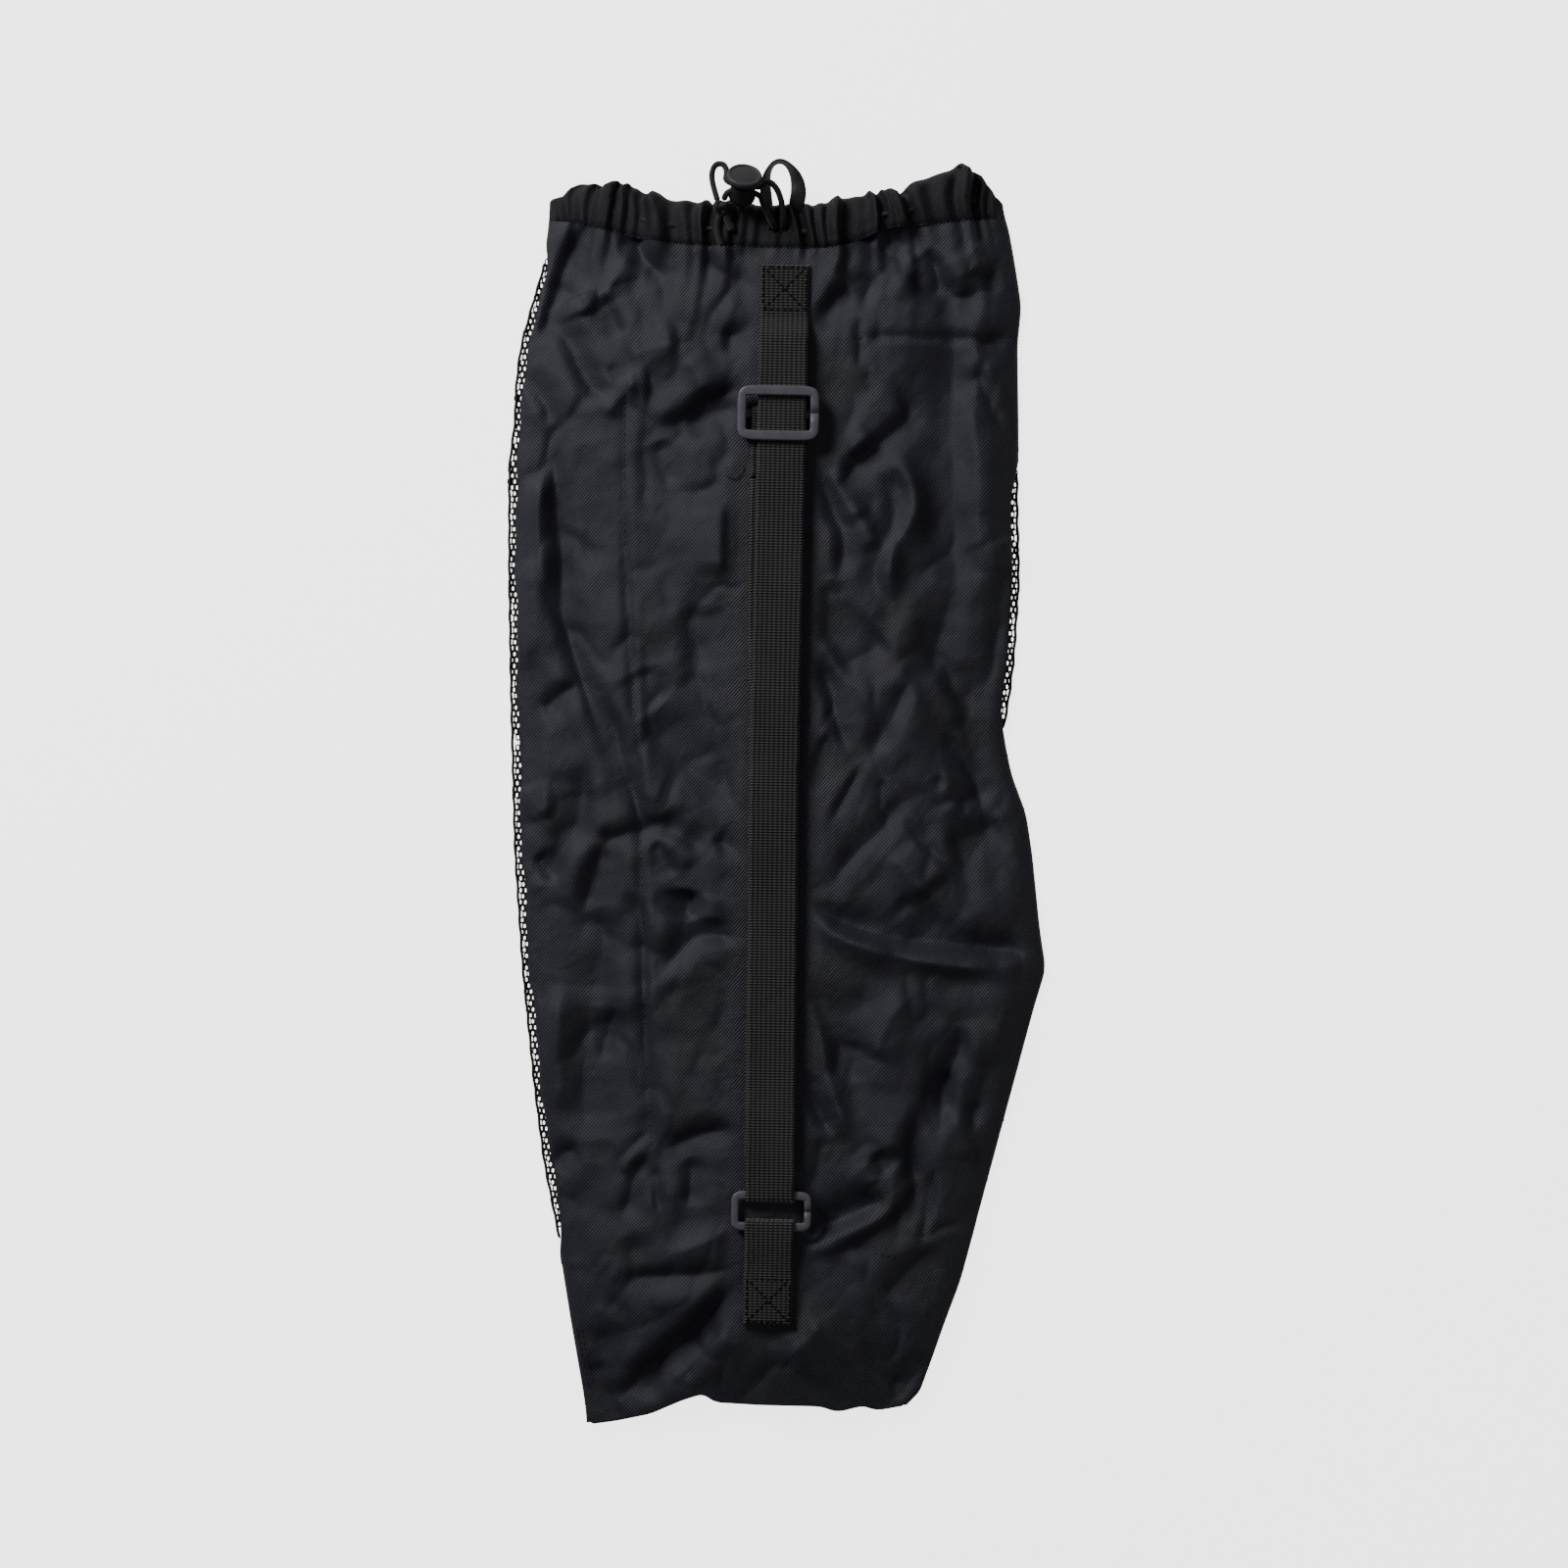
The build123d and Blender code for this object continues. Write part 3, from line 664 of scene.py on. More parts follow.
# Folds of the front, in millimetres from the bag's middle: places that each one runs through.
FOLDS: dict[Crease, list[list[Point]]] = {
    Crease.PIT: [
        [(-6, -244), (-20, -259), (-31, -270), (-41, -281), (-53, -292), (-64, -303), (-77, -316)],
        [(61, -206), (45, -216), (34, -220), (25, -225), (18, -231)],
        [(33, 297), (40, 288), (51, 281), (65, 275)],
        [(-42, -50), (-44, -66)],
    ],
    Crease.STRONG: [
        [(-101, 292), (-112, 277), (-117, 260), (-122, 242), (-126, 230)],
        [(-72, 300), (-73, 292), (-76, 279), (-67, 270), (-60, 262)],
        [(-13, 242), (-22, 236), (-32, 236)],
        [(-63, 187), (-50, 192), (-41, 200), (-31, 205), (-20, 209)],
        [(-103, 198), (-111, 180), (-117, 166), (-114, 135), (-111, 119), (-112, 95), (-106, 74), (-95, 43),
         (-87, 20)],
        [(73, 283), (78, 272), (84, 261), (89, 256), (104, 261)],
        [(34, 262), (23, 252), (14, 240)],
        [(-90, 50), (-83, 35), (-75, 4), (-69, -12), (-61, -18), (-46, -10)],
        [(-89, -26), (-90, -37), (-95, -54), (-97, -64)],
        [(-12, -76), (-28, -73), (-40, -74), (-50, -85), (-58, -96)],
        [(13, -51), (26, -60), (39, -67), (65, -74), (104, -77), (139, -80)],
        [(96, -115), (99, -128), (95, -137), (89, -147), (89, -174)],
        [(79, -156), (75, -169), (73, -187), (78, -204), (64, -219), (45, -231), (27, -238)],
        [(-87, 311), (-92, 296), (-96, 289)],
    ],
    Crease.PLAIN: [
        [(-98, 306), (-98, 292)], [(-44, 280), (-34, 267), (-17, 261), (-13, 252)],
        [(-28, 280), (-20, 266), (-14, 255)], [(-94, 255), (-87, 242), (-82, 233)],
        [(-119, 239), (-109, 230), (-105, 217), (-98, 206), (-86, 200)],
        [(-50, 191), (-34, 196), (-21, 199)], [(-133, 216), (-128, 207), (-120, 197), (-120, 187)],
        [(-111, 194), (-120, 178), (-122, 164), (-131, 152)], [(51, 286), (62, 285), (69, 277)],
        [(68, 275), (54, 272), (45, 263), (40, 248)], [(65, 270), (71, 260), (83, 259)],
        [(107, 273), (109, 259)], [(122, 239), (110, 238), (99, 231)], [(99, 225), (110, 197), (121, 186)],
        [(59, 212), (67, 197), (60, 189), (50, 181), (37, 169), (31, 156)],
        [(53, 171), (62, 160), (63, 146), (52, 124), (49, 111), (57, 98)],
        [(15, 168), (23, 158), (28, 145), (34, 133), (31, 109)], [(-90, -27), (-81, -23), (-61, -18)],
        [(-103, 55), (-114, 47), (-121, 40)], [(-98, 17), (-98, -15), (-108, -29), (-112, -50)],
        [(-59, -20), (-48, -21), (-36, -30)], [(-62, -25), (-56, -32), (-51, -44)],
        [(-31, -23), (-20, -29), (-13, -35)], [(-76, -50), (-69, -62), (-65, -77), (-65, -110)],
        [(-123, -34), (-112, -47)], [(85, 34), (95, 22), (104, 7), (109, -8)],
        [(20, 72), (28, 52), (32, 35), (38, 21)], [(68, 59), (62, 43), (54, 27), (50, 20)],
        [(28, 33), (23, 22), (18, 10), (17, -2)], [(67, 0), (62, -9), (54, -20), (43, -29), (33, -41)],
        [(-80, -111), (-87, -140)], [(-66, -100), (-64, -123), (-61, -152), (-60, -186)],
        [(-60, -186), (-69, -197), (-70, -209), (-75, -220)],
        [(-53, -184), (-41, -177), (-26, -173), (-13, -173)],
        [(-40, -187), (-39, -200), (-41, -213)], [(-112, -195), (-106, -187), (-97, -184)],
        [(-11, -237), (-17, -245), (-41, -248), (-74, -250)], [(-22, -272), (-33, -287), (-41, -304)],
        [(17, -141), (21, -156), (29, -169), (33, -176)], [(92, -140), (93, -163)],
        [(54, -184), (62, -195)], [(87, -288), (73, -305), (67, -312)],
    ],
    Crease.THIN: [
        [(-90, 218), (-83, 210)], [(40, 247), (40, 219)], [(45, 16), (36, 0), (29, -14)],
        [(56, 9), (55, -7)], [(65, -9), (73, -20), (82, -29), (97, -42)], [(84, 11), (86, 4)],
        [(95, -1), (98, -9)],
        [(-61, -175), (-70, -183), (-78, -192), (-73, -201)], [(-58, -193), (-56, -217)],
        POCKET_SIDE, [(36, 235), (78, 235.5), (121, 235)], POCKET_FOOT,
    ],
    Crease.SOFT: [
        [(-100, 180), (-103, 164), (-97, 145), (-98, 110)], [(-62, 181), (-58, 169), (-59, 157)],
        [(25, 111), (26, 94), (23, 75)], [(-69, 64), (-64, 54), (-57, 46)], [(-42, 97), (-41, 80), (-44, 62)],
        [(65, -51), (76, -60), (88, -69)], [(-72, -227), (-66, -244), (-72, -256), (-83, -270)],
        [(-92, -284), (-75, -280), (-56, -272), (-41, -268)], [(-90, -294), (-87, -311), (-81, -320)],
        [(46, -126), (41, -148)], [(89, -232), (82, -236), (70, -247), (61, -259)], [(20, 300), (15, 284)],
        [(118, 120), (113, 90), (116, 60)], [(118, -120), (108, -150), (104, -176)],
    ],
    Crease.BROAD: [
        [(-69, 38), (-50, 15), (-31, 4), (-19, -7)], [(57, 81), (48, 74), (31, 64)],
        [(118, -12), (101, -21), (88, -24)], [(-88, -58), (-86, -84), (-87, -112)],
        [(-93, -104), (-94, -130), (-96, -160), (-92, -182)], [(89, 246), (88, 200), (90, 150), (92, 98)],
        [(92, 110), (82, 79), (80, 66), (95, 41), (103, 22), (108, -13)],
    ],
    Crease.RIDGE: [
        [(-108, 300), (-118, 278), (-126, 245), (-129, 230)], [(-80, 277), (-84, 267), (-94, 252)],
        [(-73, 211), (-83, 203), (-91, 191)], [(-50, 223), (-41, 211), (-42, 204)],
        [(29, 278), (21, 261), (14, 248)],
        [(34, 175), (47, 186)], [(59, 178), (66, 166), (71, 152), (67, 138), (56, 124), (60, 99)],
        [(24, 167), (33, 152), (40, 138)], [(37, 151), (46, 135), (51, 126)],
        [(-119, 41), (-118, 10), (-117, -26)],
        [(81, 67), (85, 55), (97, 37)], [(-131, 1), (-119, -16)],
        [(17, -102), (26, -120), (31, -147), (43, -179)],
        [(62, -193), (67, -208), (61, -216), (42, -223), (19, -235)], [(95, -161), (104, -175), (104, -188)],
        [(1, -254), (-12, -268), (-32, -290), (-50, -305)], [(-50, -238), (-34, -231), (-15, -223)],
        [(18, -63), (40, -76), (80, -86), (120, -88)], [(-120, 170), (-125, 140), (-120, 100)],
    ],
    Crease.ROLL: [
        [(-80, 221), (-69, 227), (-52, 230)], [(-80, 210), (-68, 210)], [(100, 246), (100, 180), (104, 110)],
        [(96, 285), (104, 272)], [(115, 135), (120, 117)], [(-107, -99), (-110, -130), (-107, -167)],
        [(73, -102), (60, -114), (54, -137)], [(-128, 120), (-128, 60)], [(60, -30), (80, -52)],
        [(-30, 150), (-30, 110)], [(-100, 245), (-104, 256)], [(125, -95), (112, -140)],
        [(30, -270), (10, -292)],
    ],
}


@dataclass
class BagOutline:
    """The flat outline of the laid bag and the height of its front cloth."""

    low_rim: float = 0.0016            # of the front's edges, above the surface
    base_step: float = 0.0024          # more over the folded base
    fold_end: float = -0.2259
    strap_x: float = -0.0004
    strap_bed: float = 0.0171          # the cloth under the strap
    bed_half: float = 0.0205
    slide_half: float = 0.0225         # the slider's way along the strap
    slide_ceiling: float = 0.0180
    left_mm: list[Point] = field(default_factory=lambda: [
        (-327, -90.7), (-313.6, -92.4), (-273.5, -100.2), (-233, -107.4), (-193, -116.2), (-153, -122),
        (-93, -129.1), (-33, -134.2), (48, -137.7), (108, -139.8), (168, -140.9), (189, -138.3),
        (209, -138.1),
        (229, -136), (249, -130.8), (269, -125.1), (290, -122), (304, -121.5), (330, -121)])
    right_mm: list[Point] = field(default_factory=lambda: [
        (-327, 66), (-315.7, 71), (-310.5, 79.6), (-290, 86.8), (-270, 93.4), (-250, 100.6), (-209, 111),
        (-149, 126), (-108, 136.3), (-88, 142), (-68, 138.6), (-28, 133.8), (-8, 130.4), (12, 122.5),
        (32, 118.1), (52.5, 121.3), (73, 123.4), (113, 125.2), (153, 123.5), (193, 122.8), (234, 121.5),
        (254, 123.2), (274, 119.8), (294, 115.9), (304, 112.5), (330, 111)])
    bottom_mm: list[Point] = field(default_factory=lambda: [
        (0.0, -326.5), (0.08, -324.7), (0.2, -320.6), (0.3, -313), (0.36, -309.6), (0.40, -314), (0.55, -315),
        (0.74, -315.2), (0.81, -318), (0.87, -314.4), (0.93, -316.8), (1.0, -314)])
    seam_mm: list[Point] = field(default_factory=lambda: [
        (0.0, 294), (0.06, 291.7), (0.17, 285.5), (0.27, 281), (0.50, 280), (0.62, 280.5), (0.74, 292),
        (0.81, 293), (0.89, 296), (0.97, 298.5), (1.0, 299)])
    mouth_mm: list[Point] = field(default_factory=lambda: [
        (0.0, 304), (0.05, 313.5), (0.10, 312), (0.16, 312.4), (0.20, 309), (0.24, 305.5), (0.30, 304),
        (0.36, 303.5), (0.58, 302), (0.62, 304), (0.65, 308), (0.71, 310.2), (0.79, 311), (0.82, 316.5),
        (0.88, 320.6), (0.92, 325.2), (0.955, 324.6), (0.985, 314), (1.0, 305)])
    crown_mm: list[Point] = field(default_factory=lambda: [
        (-327, 4.6), (-316, 7.5), (-300, 11.5), (-284, 15.2), (-270, 16.9), (-250, 17.0), (270, 17.0),
        (290, 16.6), (330, 15.6)])

    def left(self, y: np.ndarray) -> np.ndarray:
        """The outline's left edge at each place along the bag."""
        return smoothed(self.left_mm, y / MM, 7) * MM

    def right(self, y: np.ndarray) -> np.ndarray:
        """The outline's right edge at each place along the bag."""
        return smoothed(self.right_mm, y / MM, 5) * MM

    def bottom(self, share: np.ndarray) -> np.ndarray:
        """The front's lower edge at each share of the width."""
        return smoothed(self.bottom_mm, share, 0.02) * MM

    def seam(self, share: np.ndarray) -> np.ndarray:
        """The casing's seam at each share of the width."""
        return smoothed(self.seam_mm, share, 0.03) * MM

    def mouth(self, share: np.ndarray) -> np.ndarray:
        """The mouth's ruffled edge at each share of the width."""
        return smoothed(self.mouth_mm, share, 0.012) * MM

    def rim(self, y: np.ndarray) -> np.ndarray:
        """Height of the front's edge: it steps up over the folded base."""
        return self.low_rim + self.base_step * (1 - ease(y, self.fold_end, self.fold_end + 0.012))

    def dome(self, share: np.ndarray) -> np.ndarray:
        """The laid cloth's section across the bag: 0 at both edges, 1 in the middle."""
        return (1 - np.abs(2 * np.clip(share, 0, 1) - 1) ** 3.2) ** 0.6

    def base_height(self, share: np.ndarray, y: np.ndarray) -> np.ndarray:
        """Height of the front before its folds."""
        rim = self.rim(y)
        return rim + (smoothed(self.crown_mm, y / MM, 6) * MM - rim) * self.dome(share)


class ClothRelief:
    """The folds, gathers and slow lumps of the front cloth, as a height over the plane."""

    def __init__(self, outline: BagOutline) -> None:
        """Smooths every fold's line once."""
        self.outline = outline
        self.lines = [(kind, self.rounded(np.array(line, float) * MM))
                      for kind, lines in FOLDS.items() for line in lines]

    @staticmethod
    def rounded(line: np.ndarray) -> np.ndarray:
        """A fold's line with its corners cut twice.

        Args:
            line: its points.

        Returns:
            The rounder line.
        """
        for _ in range(2):
            near, far = line[:-1] * 0.75 + line[1:] * 0.25, line[:-1] * 0.25 + line[1:] * 0.75
            line = np.concatenate([line[:1], np.stack([near, far], 1).reshape(-1, 2), line[-1:]])
        return line

    def fold(self, kind: Crease, line: np.ndarray, x: np.ndarray, y: np.ndarray, lean: float) -> np.ndarray:
        """Height that one fold adds at each point.

        Args:
            kind: height and half width.
            line: its smoothed course.
            x: places across the bag.
            y: places along the bag.
            lean: which of its sides stands higher.

        Returns:
            The height at each point.
        """
        height, half = kind.value
        added = np.zeros_like(x)
        reach = half * 4.5
        low, high = line.min(0) - reach, line.max(0) + reach
        near = (x > low[0]) & (x < high[0]) & (y > low[1]) & (y < high[1])
        px, py = x[near], y[near]
        best, side, place = np.full(px.shape, 9.0), np.zeros_like(px), np.zeros_like(px)
        runs = np.linalg.norm(np.diff(line, axis=0), axis=1)
        start = np.concatenate([[0], np.cumsum(runs)])
        for (ax, ay), (bx, by), length, before in zip(line, line[1:], runs, start):
            dx, dy = (bx - ax) / length, (by - ay) / length
            along = np.clip((px - ax) * dx + (py - ay) * dy, 0, length)
            away = np.hypot(px - ax - along * dx, py - ay - along * dy)
            closer = away < best
            best = np.where(closer, away, best)
            side = np.where(closer, np.sign((px - ax) * dy - (py - ay) * dx), side)
            place = np.where(closer, (before + along) / start[-1], place)
        width = half * (0.65 + 0.35 * np.sin(np.pi * place))
        taper = np.clip(np.sin(np.pi * np.clip(place, 0.02, 0.98)) * 1.7, 0, 1)
        core = 0.5 * np.exp(-(best / width) ** 2) + 0.5 * np.exp(-best / (0.6 * width))
        lips = np.exp(-((best - 2.1 * width) / (1.1 * width)) ** 2)
        slope = lean * side * (best / width) * np.exp(-(best / (1.6 * width)) ** 2)
        added[near] = height * taper * (core - 0.12 * lips + 0.42 * slope)
        return added

    def gathers(self, share: np.ndarray) -> np.ndarray:
        """Uneven pleats of the drawn mouth.

        Args:
            share: of the bag's width, at each point.

        Returns:
            The pleats' height, from about -1 to 1.
        """
        x = share * 233
        x = x + 5.0 * np.sin(x / 19) + 2.2 * np.sin(x / 7.3 + 1)
        wave = (0.9 * np.sin(x / 2.15) + 0.75 * np.sin(x / 1.27 + 1.7 * np.sin(x / 13) + 2)
                + 0.9 * np.sin(x / 4.6 + 1) + 0.6 * np.sin(x / 8.3 + 4))
        calm = 1 - 0.6 * np.exp(-((share - 0.47) / 0.08) ** 2)
        return np.tanh(wave * 0.75) * calm

    def height(self, x: np.ndarray, y: np.ndarray) -> np.ndarray:
        """Height of the front cloth above the surface.

        Args:
            x: places across the bag.
            y: places along the bag.

        Returns:
            The height at each point.
        """
        o = self.outline
        left, right = o.left(y), o.right(y)
        share = (x - left) / (right - left)
        base = o.base_height(share, y)
        folds = sum(self.fold(kind, line, x, y, 1.0 if number % 2 else -1.0)
                    for number, (kind, line) in enumerate(self.lines))
        slow = 0.0018 * rough(x, y, 0.055, 3.1) + 0.0006 * rough(x, y, 0.021, 7.7)
        slow -= 0.0014 * np.clip(1 - 3.4 * np.abs(rough(x, y * 0.7, 0.047, 11.3)), 0, 1) ** 1.4
        inside = np.minimum(x - left, right - x)
        edge = ease(inside, 0.0, 0.016)
        seam = o.seam(share)
        pleats = 0.0023 * self.gathers(share) * np.exp(-np.clip(seam - y, 0, 1) / 0.020)
        bed = 1 - ease(np.abs(x - o.strap_x), o.bed_half * 0.72, o.bed_half * 1.35)
        bed = bed * ease(y, -0.285, -0.268) * (1 - ease(y, 0.272, 0.280))
        relief = (folds + slow) * (0.25 + 0.75 * edge) * (1 - 0.85 * bed)
        z = base + relief + pleats * edge * (1 - bed)
        z = z * (1 - bed) + np.minimum(z, o.strap_bed) * bed
        slide = (1 - ease(np.abs(x - o.strap_x + 0.001), o.slide_half, o.slide_half + 0.006))
        slide = slide * ease(y, -0.19, -0.17) * (1 - ease(y, 0.228, 0.24))
        z = z * (1 - slide) + np.minimum(z, o.slide_ceiling) * slide
        return np.maximum(z, o.rim(y))


# ---------------------------------------------------------------- the cloth body

@dataclass
class ClothBody:
    """The front cloth, its pocket lining, the net back, the folded base and the seam allowances."""

    outline: BagOutline
    relief: ClothRelief
    finishes: Finishes
    columns: int = 174
    rows: int = 400
    net_strip: float = 0.0046          # of the net that shows beside the front's left edge
    hem_share: float = 0.012           # of the width that rolls under at an edge
    hem_drop: float = 0.0012
    net_cell: tuple[float, float] = (0.0026, 0.0041)
    net_yarn: float = 0.00078          # half a yarn's width
    net_z: float = 0.00072
    net_edge: float = 0.0012           # from the outline to the middle of the net's last cells
    selvedge_r: float = 0.00075
    pocket_corner: Point = (-0.0748, -0.1885)
    pocket_size: Point = (0.1366, 0.406)
    pocket_below: float = 0.0026       # under the front cloth's own height
    base_reach: float = 0.086
    base_thick: float = 0.0011
    allowance_inset: float = 0.0088
    allowance_width: float = 0.0062

    def front_edges(self, y: np.ndarray) -> tuple[np.ndarray, np.ndarray]:
        """The front cloth's own edges: inside the outline where the net shows."""
        strip = self.net_strip * ease(y, -0.245, -0.215) * (1 - ease(y, 0.262, 0.284))
        notch = 0.0042 * ease(y, 0.028, 0.05) * (1 - ease(y, 0.150, 0.178))
        fold = 0.0006 * np.sin(y / 0.011) + 0.0004 * np.sin(y / 0.0047)
        return self.outline.left(y) + strip + fold * (strip > 0), self.outline.right(y) - notch

    def front(self) -> None:
        """The front: one sheet from the base's seam to the casing's seam, laid over its folds."""

        def place(u: np.ndarray, v: np.ndarray) -> tuple[np.ndarray, np.ndarray]:
            """Points and UVs of the front."""
            body = np.clip((u - self.hem_share) / (1 - 2 * self.hem_share), 0, 1)
            low, high = self.outline.bottom(body), self.outline.seam(body)
            y = low + (high - low) * v
            left, right = self.front_edges(y)
            x = left + (right - left) * body
            z = self.relief.height(x, y)
            past = np.clip(np.maximum(self.hem_share - u, u - 1 + self.hem_share) / self.hem_share, 0, 1)
            way = np.where(u < 0.5, 1.0, -1.0)
            x = x + way * 0.0034 * past ** 1.5 - way * 0.0004 * np.sin(np.pi * past)
            z = z - self.hem_drop * np.sin(np.pi / 2 * past)
            return np.stack([x, y, np.maximum(z, 0.0004)], 1), np.stack([x, y], 1)

        obj = sheet_piece("front_cloth", self.columns, self.rows, place)
        seat(obj, "bag", self.finishes.twill, ["front_panel"])

    def pocket(self) -> None:
        """The lining of the inner pocket, a little under the front cloth."""

        def place(u: np.ndarray, v: np.ndarray) -> tuple[np.ndarray, np.ndarray]:
            """Points and UVs of the lining."""
            x = self.pocket_corner[0] + self.pocket_size[0] * u
            y = self.pocket_corner[1] + self.pocket_size[1] * v
            z = np.maximum(self.relief.height(x, y) - self.pocket_below, 0.0038)
            return np.stack([x, y, z], 1), np.stack([x, y], 1)

        obj = sheet_piece("pocket_lining", 64, 190, place)
        seat(obj, "bag", self.finishes.lining, ["inner_pocket"])

    def net(self, name: str, low: float, high: float) -> None:
        """A stretch of the net back: six-sided holes between fine yarns.

        Args:
            name: the piece's name.
            low: its lower end along the bag.
            high: its upper end.
        """
        wide, tall = self.net_cell
        rise = tall * 0.75
        bm = bmesh.new()
        size = Matrix.Diagonal((wide / math.sqrt(3) / (tall / 2), 1, 1, 1))
        for column in range(int(0.290 / wide)):
            at = Matrix.Translation((-0.146 + column * wide, low, self.net_z))
            bmesh.ops.create_circle(bm, cap_ends=True, segments=6, radius=tall / 2, matrix=at @ size)
        first = bm.verts[:] + bm.edges[:] + bm.faces[:]
        for row in range(1, int((high - low) / rise)):
            copy = bmesh.ops.duplicate(bm, geom=first)["geom"]
            shift = (wide / 2 if row % 2 else 0, row * rise, 0)
            moved = [part for part in copy if isinstance(part, bmesh.types.BMVert)]
            bmesh.ops.translate(bm, verts=moved, vec=shift)
        centres = np.array([f.calc_center_median() for f in bm.faces])
        inside = ((centres[:, 0] > self.outline.left(centres[:, 1]) + self.net_edge) &
                  (centres[:, 0] < self.outline.right(centres[:, 1]) - self.net_edge))
        spare = [f for f, stays in zip(bm.faces[:], inside) if not stays]
        bmesh.ops.delete(bm, geom=spare, context="FACES")
        bmesh.ops.remove_doubles(bm, verts=bm.verts, dist=0.0002)
        holes = bm.faces[:]
        bmesh.ops.inset_individual(bm, faces=holes, thickness=self.net_yarn, use_even_offset=True)
        bmesh.ops.delete(bm, geom=holes, context="FACES_ONLY")
        for vert in bm.verts:
            x, y, _ = vert.co
            vert.co.x += 0.0004 * noise.noise(Vector((x / 0.02, y / 0.02, 1.5)))
            vert.co.z = self.net_z + 0.0002 * noise.noise(Vector((x / 0.03, y / 0.03, 4.5)))
        obj = piece_from(bm, name, smooth=False)
        seat(obj, "bag", self.finishes.net, ["back_mesh_panel"])

    def selvedge(self, name: str, edge: Callable[[np.ndarray], np.ndarray], low: float, high: float,
                 inset: float) -> None:
        """The net's bound edge, where it shows beside the front cloth.

        Args:
            name: the piece's name.
            edge: the side's x at each y.
            low: its lower end along the bag.
            high: its upper end.
            inset: how far inside the side its middle runs.
        """
        y = np.linspace(low, high, 160)
        x = edge(y) + inset + 0.00025 * np.sin(y / 0.0021)
        line = evenly(np.stack([x, y, np.full_like(y, 0.0011)], 1), 0.0013)
        seat(tube_piece(name, line, self.selvedge_r, around=8), "bag", self.finishes.net)

    def base(self) -> None:
        """The base disc, folded flat under the lower end, as two layers of cloth."""

        def place(u: np.ndarray, v: np.ndarray) -> tuple[np.ndarray, np.ndarray]:
            """Points and UVs of the folded base."""
            low = self.outline.bottom(u)
            reach = self.base_reach * np.sqrt(np.clip(1 - (2 * u - 1) ** 2, 0.0, 1))
            y = low + (reach + 0.002) * v
            left, right = self.outline.left(y), self.outline.right(y)
            x = left + (right - left) * u
            middle = ease(u, 0, 0.05) * (1 - ease(u, 0.95, 1))
            z = 0.0009 + 0.0005 * middle * (1 + rough(x, y, 0.03, 5.5))
            return np.stack([x, y, np.clip(z, 0.0006, 0.0022)], 1), np.stack([x, -y], 1)

        obj = sheet_piece("folded_base", 110, 56, place)
        thicken(obj, self.base_thick)
        seat(obj, "bag", self.finishes.twill, ["base_panel"])

    def base_seam(self) -> None:
        """The rolled seam that joins the front's lower edge to the base."""
        share = np.linspace(0.0, 1.0, 150)
        y = self.outline.bottom(share) + 0.0004
        left, right = self.outline.left(y), self.outline.right(y)
        z = 0.0026 + 0.0009 * np.sin(np.pi * share)
        line = evenly(np.stack([left + 0.002 + (right - left - 0.004) * share, y, z], 1), 0.0013)
        seat(tube_piece("base_seam", line, 0.0013, around=10), "bag", self.finishes.twill)

    def allowance(self, side: int) -> None:
        """The overlocked seam allowance inside one side of the bag.

        Args:
            side: -1 for the left, 1 for the right.
        """
        edge = self.outline.left if side < 0 else self.outline.right

        def place(u: np.ndarray, v: np.ndarray) -> tuple[np.ndarray, np.ndarray]:
            """Points and UVs of the strip."""
            y = -0.285 + 0.560 * v
            x = edge(y) - side * (self.allowance_inset + self.allowance_width * u)
            z = self.outline.rim(y) + 0.0004 + 0.0003 * np.sin(y / 0.009)
            return np.stack([x, y, z], 1), np.stack([x, y], 1)

        name = "left" if side < 0 else "right"
        obj = sheet_piece(f"{name}_overlocked_edge", 6, 240, place)
        thicken(obj, 0.0007)
        seat(obj, "bag", self.finishes.twill, [f"{name}_seam_allowance"])

    def build(self) -> None:
        """Builds every cloth piece."""
        self.front()
        self.pocket()
        self.net("net_back_lower", -0.2245, 0.0270)
        self.net("net_back_upper", 0.0267, 0.2850)
        self.selvedge("net_selvedge_left", self.outline.left, -0.232, 0.272, 0.0009)
        self.selvedge("net_selvedge_right", self.outline.right, 0.036, 0.168, -0.0009)
        self.base()
        self.base_seam()
        for side in (-1, 1):
            self.allowance(side)


